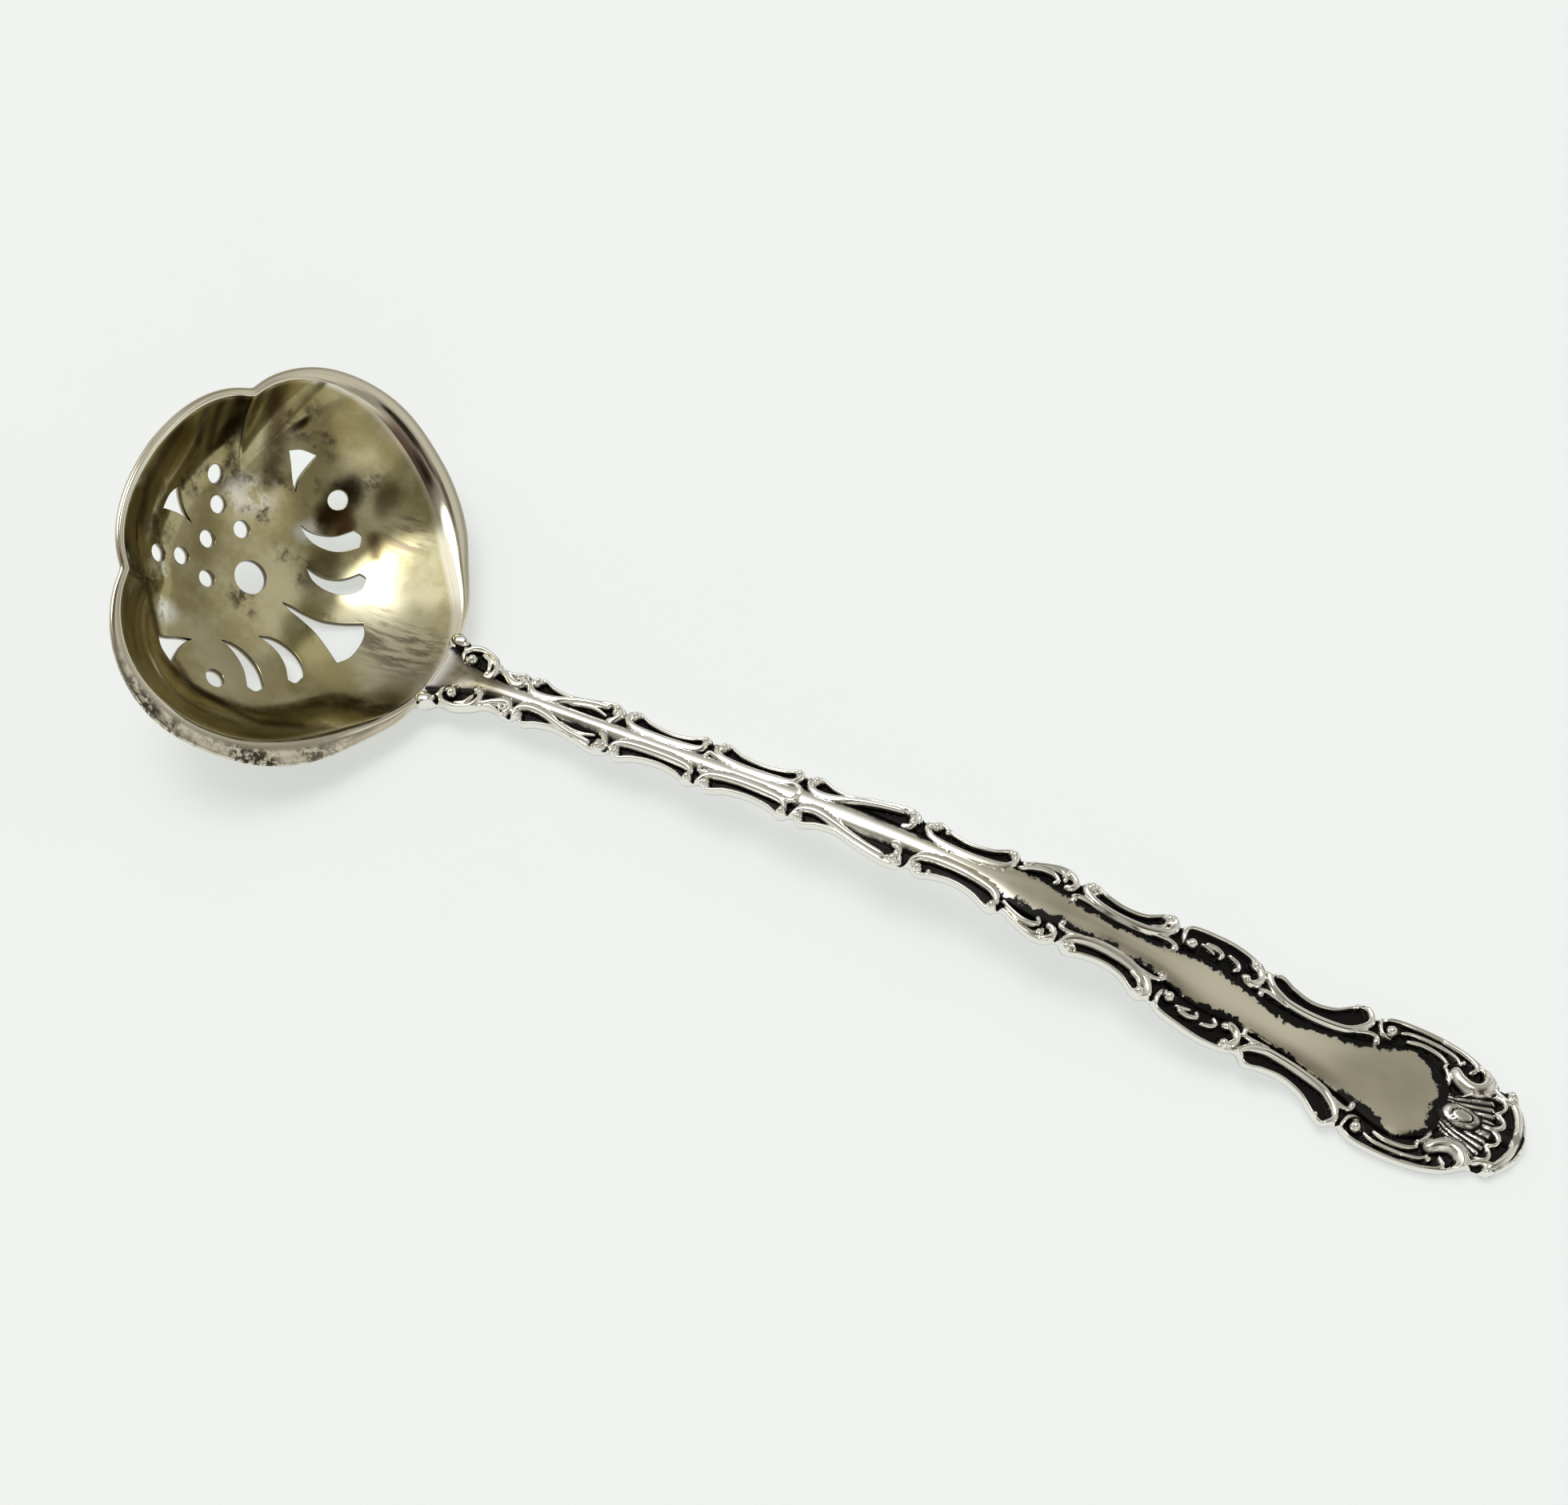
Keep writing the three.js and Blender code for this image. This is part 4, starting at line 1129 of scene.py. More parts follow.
    # Beads: radius, crest, place along, place across
    beads: list[tuple[float, float, float, float]] = [
        (0.38, 0.45, 4.3, 16), (0.48, 0.45, 7.45, 27), (0.46, 0.48, 8.8, 29), (0.46, 0.42, 16.4, 27),
        (0.46, 0.46, 18.15, 30), (0.42, 0.46, 24.9, 29), (0.42, 0.46, 26.6, 30), (0.42, 0.46, 33.6, 30),
        (0.28, 0.40, 25.5, 10), (0.46, 0.46, 35.1, 28), (0.44, 0.42, 43.9, 27), (0.40, 0.42, 45.5, 32),
        (0.40, 0.25, 47, 34), (0.46, 0.42, 52.8, 40), (0.36, 0.40, 57.2, 47), (0.32, 0.35, 58.7, 20),
        (0.36, 0.36, 67.8, 23), (0.48, 0.48, 59.6, 51), (0.40, 0.40, 66.3, 60), (0.46, 0.50, 74.3, 40),
        (0.40, 0.36, 75.9, 31), (0.40, 0.36, 86.3, 53), (0.42, 0.45, 76.3, 67), (0.40, 0.40, 83.8, 88),
        (0.34, 0.30, 92.2, 60), (0.32, 0.30, 93.5, 77), (0.62, 0.45, 98.1, 61),
        # Larger ones that the C scrolls end in
        (0.58, 0.62, 33.6, 32), (0.58, 0.62, 26.6, 32), (0.58, 0.62, 24.9, 32), (0.60, 0.62, 52.8, 42),
        (0.56, 0.60, 35.2, 32), (0.56, 0.60, 8.8, 32), (0.56, 0.60, 18.2, 33), (0.60, 0.62, 16.5, 33),
        (0.60, 0.62, 43.8, 37), (0.58, 0.60, 46.0, 35), (0.62, 0.62, 66.5, 60), (0.58, 0.60, 59.7, 50),
        (0.60, 0.60, 74.6, 64),
    ]


@dataclass
class StruckFace:
    """The handle's face while it is struck.

    Attributes:
        ground: height of the surface under the ornament, one value per point.
        join: height within which two raised forms run into each other.
        height: height so far.
        cover: share that is 0 on the ground and 1 on a crest.
    """

    ground: np.ndarray
    join: float

    def __post_init__(self) -> None:
        """Starts with the bare ground."""
        self.height, self.cover = self.ground.copy(), np.zeros_like(self.ground)

    def strike(self, near: np.ndarray, crest: np.ndarray, profile: np.ndarray, lightened: np.ndarray) -> None:
        """Raises some points to a rounded form, with a soft join to what is there.

        Args:
            near: numbers of the points.
            crest: height of the form where its profile is full.
            profile: share of the full height at each point.
            lightened: share of raised work at each point.
        """
        ground, height = self.ground[near], self.height[near]
        top = ground + (crest - ground) * profile
        soft = self.join * np.clip(4 * profile, 0.001, 1)
        close = np.maximum(soft - np.abs(top - height), 0) / soft
        joined = np.maximum(top, height) + soft * close**2 / 4
        self.height[near] = np.where(profile > 0, joined, height)
        self.cover[near] = np.maximum(self.cover[near], lightened)


@dataclass
class HandleForm:
    """Shape of the handle: centreline, outline, panel and relief."""

    run: float = 92.6
    rise: float = 65.7
    half_width: float = 7.0
    root: tuple[float, float] = (18.198, 11.0)
    centreline_shares: Pairs = (
        (0, 0), (0.185, 0.246), (0.347, 0.457), (0.509, 0.625), (0.671, 0.749), (0.834, 0.837), (1, 1))
    outline: Track = Track((
        (-1.5, 67), (0, 67), (0.8, 66), (1.4, 57), (2, 53), (2.9, 54), (3.7, 50), (4.6, 43), (5.4, 34),
        (6.3, 33), (7.4, 38), (8.1, 36), (8.5, 31), (9.2, 39), (10.3, 33), (11.9, 29), (13.9, 34),
        (16.1, 41), (17, 37), (17.4, 31), (18.1, 40), (19.6, 32), (21.7, 27), (23.6, 31), (24.9, 39),
        (25.9, 31), (26.7, 39), (28.3, 31), (30.5, 28), (32.3, 32), (33.7, 39), (34.5, 31), (35.3, 39),
        (36.8, 32), (38.2, 30), (40.6, 39), (43.5, 46), (44.4, 43), (45.2, 35), (46, 43), (47.6, 36),
        (49.3, 33), (51, 38), (52.8, 49), (53.7, 41), (54.7, 47), (56.7, 58), (58, 56), (58.9, 47),
        (59.7, 56), (61.1, 50), (62.9, 46), (64.6, 50), (66.7, 67), (67.6, 60), (68.6, 69), (70.6, 75),
        (72.8, 77), (75, 71), (76.1, 64), (77, 73), (78.4, 67), (80.3, 63), (82.2, 71), (84.6, 95),
        (85.7, 86), (87, 96), (89.3, 100), (91.9, 98), (94.1, 90), (95.6, 77), (96.6, 66), (98, 64)))
    rim_radius: float = 0.31
    rim_inset: float = 0.11
    rim_crest: float = 0.06
    rim_power: float = 0.6
    cusp_reach: float = 0.42
    join: float = 0.06
    last_row: float = 98.0
    crown: float = 0.32
    crown_loss: float = 0.12
    ground: float = -0.50
    ground_fall: float = 0.10
    bank: float = 0.55
    bank_loss: float = 0.15
    strand_spread: float = 1.22
    round_spread: float = 1.08
    ring_depth: float = 0.06
    ring_reach: float = 1.12
    ring_width: float = 0.16
    flute_turn: float = 4.5
    flute_depth: float = 0.07
    flute_reaches: tuple[float, float, float, float] = (4.2, 4.8, 8.7, 9.3)
    flute_turns: tuple[float, float] = (21.5, 23.5)
    panel: Track = Track((
        (-1.5, 45), (1, 34), (2, 24), (5, 14), (9, 11), (30, 12), (40, 14), (45, 13), (50, 16), (56, 28),
        (61, 19), (67, 22), (71, 33), (76, 26), (80, 28), (84, 38), (90, 62), (92.5, 44), (94, 16), (98, 10)))
    thick: Track = Track(((-1.5, 2.5), (8, 2.3), (30, 1.95), (60, 1.75), (98, 1.6)))
    upper: Track = Track((
        (-1.5, 36), (2, 24), (5, 14), (9, 9.5), (16, 8.5), (20, 9), (33, 9), (36, 9), (40, 8.5), (44, 8.5),
        (50, 11), (54, 22), (57, 19), (60, 12), (63, 10), (66, 11), (70, 27), (75, 15), (80, 18), (84, 33),
        (88, 50), (89.3, 64), (91, 48), (92, 32), (98, 20)))
    clean_end: float = 92.2
    lower: Track = Track((
        (-1.5, 36), (2, 24), (5, 14), (9, 9.5), (16, 9), (20, 10), (33, 10), (36, 12), (40, 17), (44, 13),
        (50, 14), (54, 22), (57, 19), (60, 14), (63, 14), (66, 15), (70, 27), (75, 22), (80, 27), (84, 39),
        (88, 46), (90, 64), (91.4, 54), (92.3, 34), (98, 20)))

    def __post_init__(self) -> None:
        """Measures the centreline and samples the strands."""
        steps, evening, passes = 200, 60, 3
        knots = np.array(self.centreline_shares) * np.array([self.run, self.rise]) + np.array(self.root)
        self.curve = through(knots, steps)
        for _ in range(passes):
            self.curve = self.levelled(self.curve, evening)
        strides = np.linalg.norm(np.diff(self.curve, axis=0), axis=1)
        self.travel = np.concatenate([[0.0], np.cumsum(strides)])
        self.length = self.travel[-1]
        self.heading = unit(np.gradient(self.curve, self.travel, axis=0))
        self.lines = [self.sampled(strand) for strand in Ornament.strands]

    @staticmethod
    def levelled(points: np.ndarray, reach: int) -> np.ndarray:
        """Evens out the bends of a curve and keeps its ends.

        Args:
            points: places along the curve.
            reach: places on each side that are averaged.

        Returns:
            The evened curve.
        """
        start, end = 2 * points[0] - points[reach:0:-1], 2 * points[-1] - points[-2 : -reach - 2 : -1]
        padded = np.vstack([start, points, end])
        weights = np.hanning(2 * reach + 3)[1:-1]
        weights /= weights.sum()
        return np.stack([np.convolve(padded[:, k], weights, mode="valid") for k in (0, 1)], axis=-1)

    def place(self, row: np.ndarray, across: np.ndarray, height: np.ndarray) -> np.ndarray:
        """Places on the handle.

        Args:
            row: hundredths of its length.
            across: distance to one side.
            height: distance over its surface.

        Returns:
            Array of places.
        """
        along = row / HUNDRED * self.length
        held = np.clip(along, 0, self.length)
        point = np.stack([np.interp(held, self.travel, self.curve[:, k]) for k in (0, 1)], axis=-1)
        heading = self.direction(row)
        point = point + heading * (along - held)[..., None]
        x, z = point[..., 0] - heading[..., 1] * height, point[..., 1] + heading[..., 0] * height
        return np.stack([x, across, z], axis=-1)

    def direction(self, row: np.ndarray) -> np.ndarray:
        """Unit heading of the centreline in its own plane."""
        held = np.clip(row / HUNDRED * self.length, 0, self.length)
        return np.stack([np.interp(held, self.travel, self.heading[:, k]) for k in (0, 1)], axis=-1)

    def edge(self, row: np.ndarray) -> np.ndarray:
        """Half width of the handle in millimetres."""
        return self.half_width * self.outline(np.minimum(row, self.last_row)) / HUNDRED

    def fluting(self, row: np.ndarray, across: np.ndarray) -> tuple[np.ndarray, np.ndarray]:
        """The shell's flutes, which spread from the middle of its fan.

        Args:
            row: hundredths of the length.
            across: distance to one side.

        Returns:
            Share of the fluted field at each place, and its turn in radians of one flute.
        """
        along, side = (row - FAN_START) * FAN_STEP, np.abs(across)
        reach, turn = np.hypot(along, side), np.degrees(np.arctan2(side, along))
        start, full, fade, end = self.flute_reaches
        ringed = smoothstep(reach, start, full) * (1 - smoothstep(reach, fade, end))
        return ringed * (1 - smoothstep(turn, *self.flute_turns)), turn / self.flute_turn * 2 * math.pi

    def base(self, row: np.ndarray, across: np.ndarray) -> np.ndarray:
        """Height of the surface under the ornament: a crowned panel, a bank and the sunk ground.

        Args:
            row: hundredths of the length.
            across: distance to one side.

        Returns:
            Heights over the handle's surface.
        """
        narrowest, lowest, flute_lift = 0.3, -0.1, 0.65
        side = np.abs(across)
        panel = self.half_width * self.panel(row) / HUNDRED
        wide = smoothstep(row, 46, 56)
        crown = (self.crown - self.crown_loss * wide) * smoothstep(row, 0.0, 4.0)
        inner = np.maximum(crown * (1 - (side / np.maximum(panel, narrowest)) ** 2), lowest)
        fall = smoothstep((side - panel) / (self.bank - self.bank_loss * wide), 0.0, 1.0)
        floor = self.ground - self.ground_fall * smoothstep(side / self.edge(row), 0.6, 1.0)
        fluted, flute = self.fluting(row, across)
        floor *= smoothstep(row, -0.5, 2.5) * (1 - flute_lift * fluted)
        floor += self.flute_depth * fluted * np.cos(flute)
        return inner * (1 - fall) + floor * fall

    def sampled(self, strand: Strand) -> tuple[np.ndarray, np.ndarray, np.ndarray]:
        """A strand that thins and sinks towards its ends.

        Args:
            strand: strand to sample.

        Returns:
            Places in millimetres, radius at each and share of the crest at each.
        """
        steps, thin, low, end = 6, 0.62, 0.6, 0.06
        line = through(strand.places, steps) * np.array([self.length / HUNDRED, self.half_width / HUNDRED])
        swell = np.sqrt(np.sin(np.linspace(end, 1 - end, len(line)) * math.pi))
        return line, strand.radius * (thin + (1 - thin) * swell), low + (1 - low) * swell

    def strike_rim(self, face: StruckFace, row: np.ndarray, points: np.ndarray) -> None:
        """Strikes the rounded rim, which dips where two units of the border meet.

        Args:
            face: face to strike.
            row: hundredths of the length of each point.
            points: places in millimetres along and to one side.
        """
        dip_share, inward = 0.9, self.edge(row) - points[:, 1]
        dips = sum(np.exp(-(((row - cusp) / self.cusp_reach) ** 2)) for cusp in Ornament.cusps)
        profile = np.maximum(1 - ((inward - self.rim_inset) / self.rim_radius) ** 2, 0) ** self.rim_power
        profile = np.where(inward < self.rim_inset, 1, profile) * (1 - dip_share * np.minimum(dips, 1))
        profile *= smoothstep(row, 1.0, 3.0) * (1 - smoothstep(row, 95.8, 97.0))
        face.strike(np.arange(len(row)), self.rim_crest, profile, profile)

    def strike_strands(self, face: StruckFace, points: np.ndarray) -> None:
        """Strikes the strands of the border.

        Args:
            face: face to strike.
            points: places in millimetres along and to one side.
        """
        slack, spread, sink = 0.05, 1.3, 0.2
        fullest, fuller = 0.52, 0.3
        for strand, (line, radius, crest) in zip(Ornament.strands, self.lines):
            margin = spread * strand.radius + slack
            low, high = line.min(0) - margin, line.max(0) + margin
            near = np.flatnonzero(np.all((points > low) & (points < high), axis=1))
            if not len(near):
                continue
            start, step = line[:-1], np.diff(line, axis=0)
            offset = points[near][:, None, :] - start[None]
            share = np.clip((offset * step).sum(-1) / (step**2).sum(-1), 0, 1)
            gap = np.linalg.norm(offset - share[..., None] * step, axis=-1)
            away = gap / (self.strand_spread * (radius[:-1] + share * np.diff(radius)))
            best = np.arange(len(near)), away.argmin(1)
            away, rise = away[best], (crest[:-1] + share * np.diff(crest))[best]
            fullness = fullest + fuller * smoothstep(strand.radius, 0.5, 0.7)
            profile = np.maximum(1 - away**2, 0) ** fullness
            face.strike(near, strand.crest * rise - sink * (1 - rise), profile, profile * rise)

    def strike_rounds(self, face: StruckFace, points: np.ndarray) -> None:
        """Strikes the beads and ovals, with a dark line round each oval.

        Args:
            face: face to strike.
            points: places in millimetres along and to one side.
        """
        widest, ring_loss, fullness = 1.4, 0.8, 0.6
        scale = np.array([self.length, self.half_width]) / HUNDRED
        beads = [(bead[0], *bead, 0.0) for bead in Ornament.beads]
        for length, width, crest, along, aside, ringed in beads + [(*oval, 1.0) for oval in Ornament.ovals]:
            offset = points - np.array([along, aside]) * scale
            away = np.linalg.norm(offset / (self.round_spread * np.array([length, width])), axis=1)
            near = np.flatnonzero(away < widest)
            away = away[near]
            ring = ringed * np.exp(-(((away - self.ring_reach) / self.ring_width) ** 2))
            face.height[near] -= self.ring_depth * ring
            face.cover[near] *= 1 - ring_loss * ring
            profile = np.maximum(1 - away**2, 0) ** fullness
            face.strike(near, crest, profile, profile)

    def relief(self, row: np.ndarray, across: np.ndarray) -> tuple[np.ndarray, np.ndarray]:
        """Height of the struck face and how much of it is raised work.

        Args:
            row: hundredths of the length, one value per point.
            across: distance to one side, one value per point.

        Returns:
            Heights over the handle's surface, and shares that are 0 on the ground and 1 on a crest.
        """
        face = StruckFace(self.base(row, across), self.join)
        points = np.stack([row * self.length / HUNDRED, np.abs(across)], axis=-1)
        self.strike_rim(face, row, points)
        self.strike_strands(face, points)
        self.strike_rounds(face, points)
        return face.height, face.cover

    def clean(self, row: np.ndarray, across: np.ndarray) -> np.ndarray:
        """Distance inside the border of the rubbed panel.

        Args:
            row: hundredths of the length.
            across: distance to one side.

        Returns:
            Distances, below zero outside the panel.
        """
        border = np.where(across > 0, self.upper(row), self.lower(row)) * self.half_width / HUNDRED
        left = (self.clean_end - row) / HUNDRED * self.length
        return np.minimum(border - np.abs(across), left)


@dataclass
class Handle:
    """The struck handle with its scroll border and shell end."""

    form: HandleForm = field(default_factory=HandleForm)
    rows: int = 940
    panel_columns: int = 8
    border_columns: int = 32
    back_columns: int = 9
    tip_rows: int = 6
    first_row: float = 0.12
    underside: float = -1.1
    end_bow: float = 2.0
    root_bow: float = 0.80
    back_inset: float = 0.18
    tip_turn: float = 82.0
    tip_reach: float = 0.4
    sides: tuple[tuple[float, float], ...] = ((0.05, 0.25), (0.06, 0.65), (-0.02, 0.95))

    def __post_init__(self) -> None:
        """Spaces the rows along the handle."""
        self.steps = np.linspace(self.first_row, self.form.last_row, self.rows)

    def face(self) -> tuple[np.ndarray, np.ndarray]:
        """Grid of the struck face, bowed out at the shell end and in at the root.

        Returns:
            Hundredths of the length and distances to one side, one row for each step along.
        """
        form = self.form
        middle = (form.half_width * form.panel(self.steps) / HUNDRED / form.edge(self.steps))[:, None]
        inner = np.linspace(-1, 1, 2 * self.panel_columns + 1) * middle
        outer = middle + (1 - middle) * np.linspace(0, 1, self.border_columns + 1)[1:]
        share = np.concatenate([-outer[:, ::-1], inner, outer], axis=1)
        row = np.repeat(self.steps[:, None], share.shape[1], axis=1)
        bow = self.end_bow * (1 - share**2) * smoothstep(row, 90, 98)
        bow -= self.root_bow * smoothstep(np.abs(share), 0.35, 0.8) * (1 - smoothstep(row, 0.0, 3.0))
        return row + bow, share * form.edge(row)

    def facing(self, along: np.ndarray, across: np.ndarray) -> np.ndarray:
        """Normals of the struck face, measured closer than its grid, and zeros at its edges.

        Args:
            along: hundredths of the length.
            across: distances to one side.

        Returns:
            Array of directions.
        """
        form, near = self.form, 0.03
        step, row, side = near / form.length * HUNDRED, along.ravel(), across.ravel()
        ahead = form.relief(row + step, side)[0] - form.relief(row - step, side)[0]
        aside = form.relief(row, side + near)[0] - form.relief(row, side - near)[0]
        ahead, aside = (part.reshape(along.shape)[..., None] / (2 * near) for part in (ahead, aside))
        forward, upward = np.moveaxis(form.direction(along), -1, 0)
        zero = np.zeros_like(forward)
        tangent = np.stack([forward, zero, upward], axis=-1)
        normal = np.stack([-upward, zero, forward], axis=-1)
        normal = unit(normal - tangent * ahead - np.array([0.0, 1.0, 0.0]) * aside)
        normal[:, [0, -1]] = 0.0
        return normal

    def wrapped_round(self, along: np.ndarray, across: np.ndarray, height: np.ndarray) -> list[np.ndarray]:
        """The face's rows, taken on over both sides and the back.

        Args:
            along: hundredths of the length.
            across: distances to one side.
            height: heights over the handle's surface.

        Returns:
            The same three grids with the further columns.
        """
        half, thick = self.form.edge(self.steps), self.form.thick(self.steps)
        far, near, deep = height[:, 0], height[:, -1], self.underside
        columns = [(along[:, -1], half + out, near + (deep - near) * down) for out, down in self.sides]
        for share in np.linspace(1, -1, self.back_columns):
            arch = 1 - share**2
            at = self.steps + self.end_bow * arch * smoothstep(self.steps, 90, 98)
            columns.append((at, (half - self.back_inset) * share, deep - (thick + deep) * arch))
        for out, down in reversed(self.sides):
            columns.append((along[:, 0], -half - out, far + (deep - far) * down))
        skirt = np.moveaxis(np.array(columns), 0, -1)
        return [np.concatenate(parts, axis=1) for parts in zip((along, across, height), skirt)]

    def closed(self, along: np.ndarray, across: np.ndarray, height: np.ndarray) -> list[np.ndarray]:
        """The grids with the rounded shell end added.

        Args:
            along: hundredths of the length.
            across: distances to one side.
            height: heights over the handle's surface.

        Returns:
            The same three grids with the further rows.
        """
        high, low, narrowing = 0.3, 0.7, 0.03
        middle = high * height[-1].max() + low * height[-1].min()
        turns = np.radians(np.linspace(0, self.tip_turn, self.tip_rows + 1)[1:])[:, None]
        sine, cosine = np.sin(turns), np.cos(turns)
        ends = (along[-1] + self.tip_reach * sine, across[-1] * (1 - narrowing * (1 - cosine)),
                middle + (height[-1] - middle) * cosine)
        return [np.vstack(parts) for parts in zip((along, across, height), ends)]

    def build(self) -> Piece:
        """Models and dresses the handle.

        Returns:
            The finished handle.
        """
        form, raised, sunk = self.form, 0.4, -0.8
        boss_place, boss_size, boss_edge = 94.7, (2.0, 1.25), 1.05
        along, across = self.face()
        height, cover = (part.reshape(along.shape) for part in form.relief(along.ravel(), across.ravel()))
        clean, normal = form.clean(along, across), self.facing(along, across)
        normal[-1] = 0.0
        along, across, height = self.closed(*self.wrapped_round(along, across, height))
        past, skirt = (0, self.tip_rows), (0, along.shape[1] - clean.shape[1])
        cover = np.pad(cover, (past, skirt), constant_values=1)
        clean = np.pad(np.pad(clean, ((0, 0), skirt), constant_values=-1), (past, (0, 0)), mode="edge")
        normal = np.pad(normal, (past, skirt, (0, 0)))
        # Root mask: brown patina and painted shade on the root panel
        rootward = smoothstep(along, 0.0, 1.5) * (1 - smoothstep(along, 4.5, 8.5))
        fluted, flute = form.fluting(along, across)
        boss = np.hypot((along - boss_place) * FAN_STEP / boss_size[0], across / boss_size[1]) < boss_edge
        layers = {
            "coverage": cover, "panel": clean, "rootward": rootward * (cover < raised),
            "fluted": fluted * (height > sunk) * ~boss, "flute": flute, "broad": smoothstep(along, 38, 58),
            "face": REST.turned(normal)}
        piece = Workshop.loft("scroll_handle", REST.metres(form.place(along, across, height)), layers=layers)
        mesh = piece.data
        kept = np.zeros(len(mesh.vertices) * 3, np.float32)
        mesh.attributes["face"].data.foreach_get("vector", kept)
        mesh.normals_split_custom_set_from_vertices([tuple(n) for n in kept.reshape(-1, 3)])
        mesh.attributes.remove(mesh.attributes["face"])
        Workshop.finish(piece, HandleSilver().material(), Slot.HANDLE, "handle")
        return piece


@dataclass
class SolderSeam:
    """The fillet of hard solder in the corner under the handle's root, with its sizes in metres."""

    grain: float = 0.00012
    same_place: float = 0.00001
    evenings: int = 8

    def build(self) -> Piece:
        """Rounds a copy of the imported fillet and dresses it.

        Returns:
            The finished fillet.
        """
        Workshop.alone(frame["nodes"]["solder_seam"])
        bpy.ops.object.duplicate()
        piece = bpy.context.object
        piece.name = "solder_fillet"
        piece.parent = None
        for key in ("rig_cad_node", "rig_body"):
            if key in piece:
                del piece[key]
        Workshop.alone(piece)
        bpy.ops.object.mode_set(mode="EDIT")
        bpy.ops.mesh.select_all(action="SELECT")
        bpy.ops.mesh.remove_doubles(threshold=self.same_place)
        bpy.ops.object.mode_set(mode="OBJECT")
        piece.data.remesh_voxel_size = self.grain
        bpy.ops.object.voxel_remesh()
        bpy.ops.object.modifier_add(type="SMOOTH")
        piece.modifiers[-1].iterations = self.evenings
        bpy.ops.object.modifier_apply(modifier=piece.modifiers[-1].name)
        bpy.ops.object.shade_smooth()
        Workshop.finish(piece, HardSolder().material(), Slot.SOLDER, "solder_seam")
        return piece


@dataclass(frozen=True)
class Card:
    """A soft round patch of light or shade in the room.

    Attributes:
        azimuth: degrees round from +X towards +Y.
        elevation: degrees above the horizon.
        inner: degrees from its middle within which it is full.
        outer: degrees from its middle at which it ends.
        colour: its light, where 1 is white.
    """

    azimuth: float
    elevation: float
    inner: float
    outer: float
    colour: Colour

    def toward(self) -> Colour:
        """Direction from the ladle to the card.

        Returns:
            Vector of length one.
        """
        level = math.cos(math.radians(self.elevation))
        turn = math.radians(self.azimuth)
        return math.cos(turn) * level, math.sin(turn) * level, math.sin(math.radians(self.elevation))


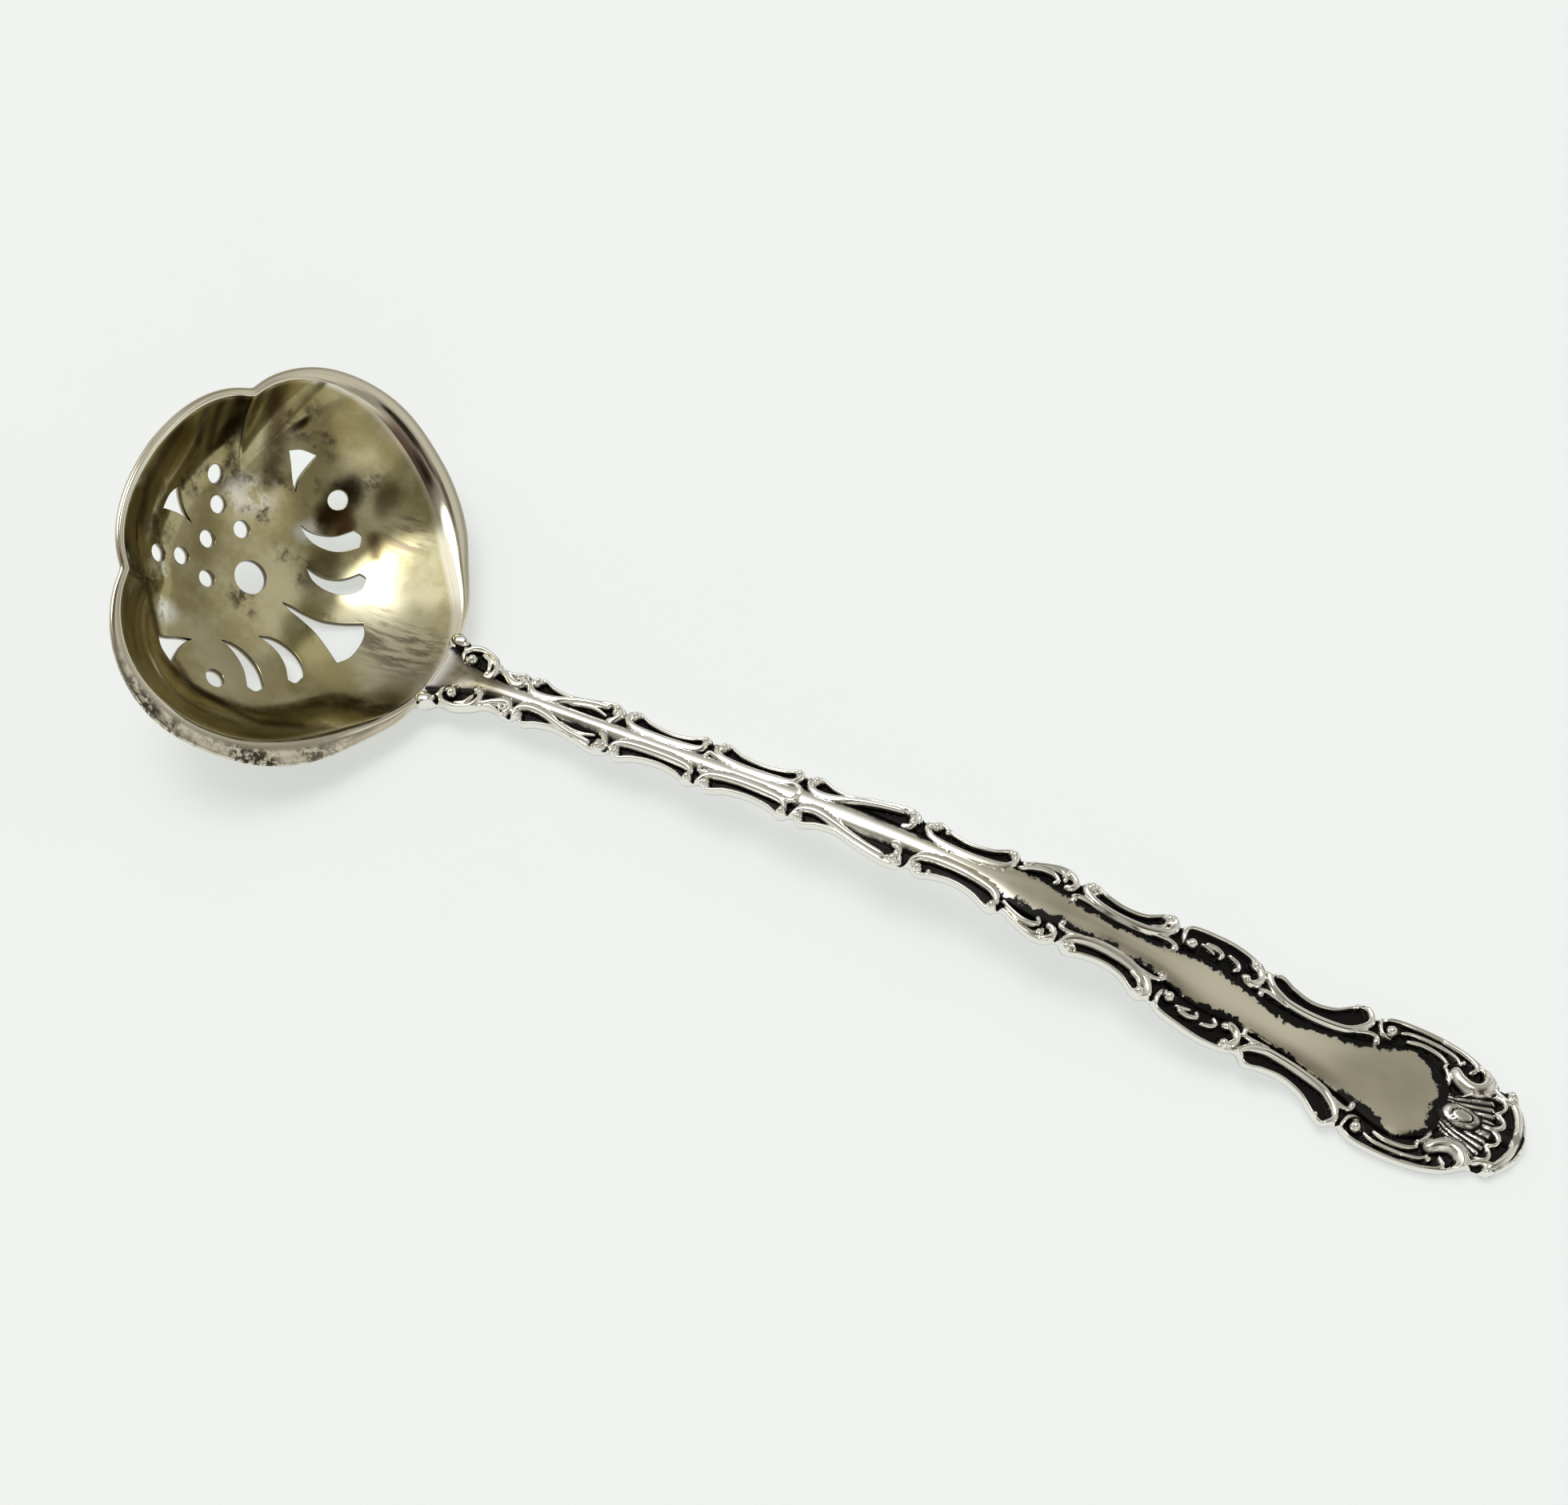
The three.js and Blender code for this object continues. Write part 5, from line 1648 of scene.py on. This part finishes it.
@dataclass
class Studio:
    """Pale table, soft room light and the camera of the photograph."""

    camera_place: tuple[float, float, float] = (0.04153, -0.12917, 0.23863)
    camera_right: tuple[float, float, float] = (0.906, 0.419, 0.056)
    camera_back: tuple[float, float, float] = (0.175, -0.492, 0.853)
    lens: float = 64.45
    sensor: float = 36.0
    table_size: float = 6.0
    table_gap: float = 0.00005
    papers: tuple[Colour, Colour] = ((0.90, 0.93, 0.925), (0.925, 0.95, 0.945))
    glow: Colour = (0.965, 1.0, 0.985)
    glow_share: float = 0.48
    room: Sequence[tuple[float, Colour]] = (
        (0.0, (0.60, 0.59, 0.56)), (0.26, (0.46, 0.45, 0.42)), (0.5, (0.38, 0.37, 0.34)),
        (0.77, (0.40, 0.39, 0.36)), (1.0, (0.46, 0.45, 0.42)))
    cards: Sequence[Card] = (
        # Window overhead
        Card(172, 71, 4, 24, (6.9, 6.9, 6.8)),
        # Pale walls
        Card(182, 40, 10, 34, (0.78, 0.77, 0.73)),
        Card(-166, 50, 5, 18, (1.3, 1.3, 1.25)),
        Card(-64, 23, 14, 30, (0.86, 0.84, 0.76)),
        Card(10, 28, 5, 20, (0.74, 0.72, 0.65)),
        Card(44, 44, 6, 26, (0.70, 0.69, 0.64)),
        Card(-82, 14, 8, 28, (0.56, 0.55, 0.50)),
        Card(125, 52, 8, 26, (0.64, 0.63, 0.60)),
        Card(108, 59, 5, 14, (0.92, 0.92, 0.90)),
        Card(74, 60, 3, 13, (0.30, 0.29, 0.24)),
        # Shade round the viewer
        Card(-46, 52, 3, 9, (0.02, 0.015, 0.01)),
        Card(-30, 53, 5, 11, (0.02, 0.015, 0.01)),
        Card(-13, 54, 3, 9, (0.03, 0.02, 0.01)),
        Card(-30, 65, 3, 10, (0.09, 0.05, 0.03)),
        Card(20, 70, 5, 16, (0.16, 0.14, 0.11)),
        Card(-124, 46, 6, 22, (0.30, 0.28, 0.22)),
        Card(-86, 56, 3, 12, (0.12, 0.11, 0.08)),
        Card(-22, 2, 3, 8, (0.03, 0.02, 0.01)),
        Card(92, 32, 4, 18, (0.36, 0.34, 0.27)),
    )

    def camera(self) -> None:
        """Places the camera as the photograph's view was worked out."""
        data = bpy.data.cameras.new("camera")
        data.lens, data.sensor_width = self.lens, self.sensor
        data.clip_start, data.clip_end = 0.01, 20.0
        view = bpy.data.objects.new("camera", data)
        bpy.context.scene.collection.objects.link(view)
        back = Vector(self.camera_back).normalized()
        right = Vector(self.camera_right)
        right = (right - back * right.dot(back)).normalized()
        turn = Matrix((right, back.cross(right), back)).transposed()
        view.matrix_world = Matrix.Translation(self.camera_place) @ turn.to_4x4()
        bpy.context.scene.camera = view

    def table(self) -> None:
        """A wide pale table top, which glows a little to the camera and in the silver."""
        bpy.ops.object.select_all(action="DESELECT")
        bpy.ops.mesh.primitive_plane_add(size=self.table_size, location=(0, 0, -self.table_gap))
        table = bpy.context.object
        table.name = "table"
        recipe = Recipe("pale_table")
        paper = recipe.mixed(recipe.noise(60, 6, 0.7), *self.papers)
        for label, value in (("Base Color", paper), ("Roughness", 0.75), ("Specular IOR Level", 0.2)):
            recipe.feed(recipe.surface.inputs[label], value)
        recipe.bumped(recipe.noise(3000, 3, 0.6), 0.00002, 0.3)
        rays = recipe.node("ShaderNodeLightPath").outputs
        seen = recipe.math("MAXIMUM", rays["Is Camera Ray"], rays["Is Glossy Ray"])
        glow = recipe.node("ShaderNodeEmission", {"Color": self.glow})
        both = recipe.node("ShaderNodeMixShader", {
            0: recipe.product(seen, self.glow_share), 1: recipe.surface.outputs[0], 2: glow.outputs[0]})
        recipe.feed(recipe.tree.nodes["Material Output"].inputs["Surface"], both.outputs[0])
        table.data.materials.append(recipe.material)
        table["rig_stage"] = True

    def world(self) -> None:
        """Room light, graded from the horizon up, with the cards laid over it."""
        world = bpy.data.worlds.new("room")
        bpy.context.scene.world = world
        world.use_nodes = True
        nodes = Nodes(world.node_tree)
        place = nodes.node("ShaderNodeTexCoord").outputs["Generated"]
        height = nodes.node("ShaderNodeSeparateXYZ", {0: place}).outputs["Z"]
        ramp = nodes.node("ShaderNodeValToRGB", {0: height})
        elements = ramp.color_ramp.elements
        while len(elements) < len(self.room):
            elements.new(0.5)
        for element, (at, colour) in zip(elements, self.room):
            element.position, element.color = at, (*colour, 1.0)
        light = ramp.outputs["Color"]
        for card in self.cards:
            toward = nodes.node("ShaderNodeVectorMath", {0: place, 1: card.toward()}, operation="DOT_PRODUCT")
            outer, inner = (math.cos(math.radians(reach)) for reach in (card.outer, card.inner))
            light = nodes.mixed(nodes.graded(toward.outputs["Value"], outer, inner), light, card.colour)
        nodes.feed(nodes.tree.nodes["Background"].inputs["Color"], light)

    def build(self) -> None:
        """Sets up everything round the ladle."""
        self.camera()
        self.table()
        self.world()
        bpy.context.scene.view_settings.view_transform = "Standard"


def main() -> None:
    """Builds the ladle's pieces in order."""
    logging.basicConfig(level=logging.INFO, format="%(name)s: %(message)s")
    Studio().build()
    Bowl().build()
    Handle().build()
    SolderSeam().build()
    boxes = {"cad": [list(corner) for corner in CAD_BOX], "visual": [list(corner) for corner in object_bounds()]}
    for label, box in boxes.items():
        log.info("%s box %s", label, [[round(v * MILLIMETRES, 3) for v in corner] for corner in box])


if __name__ == "__main__":
    main()
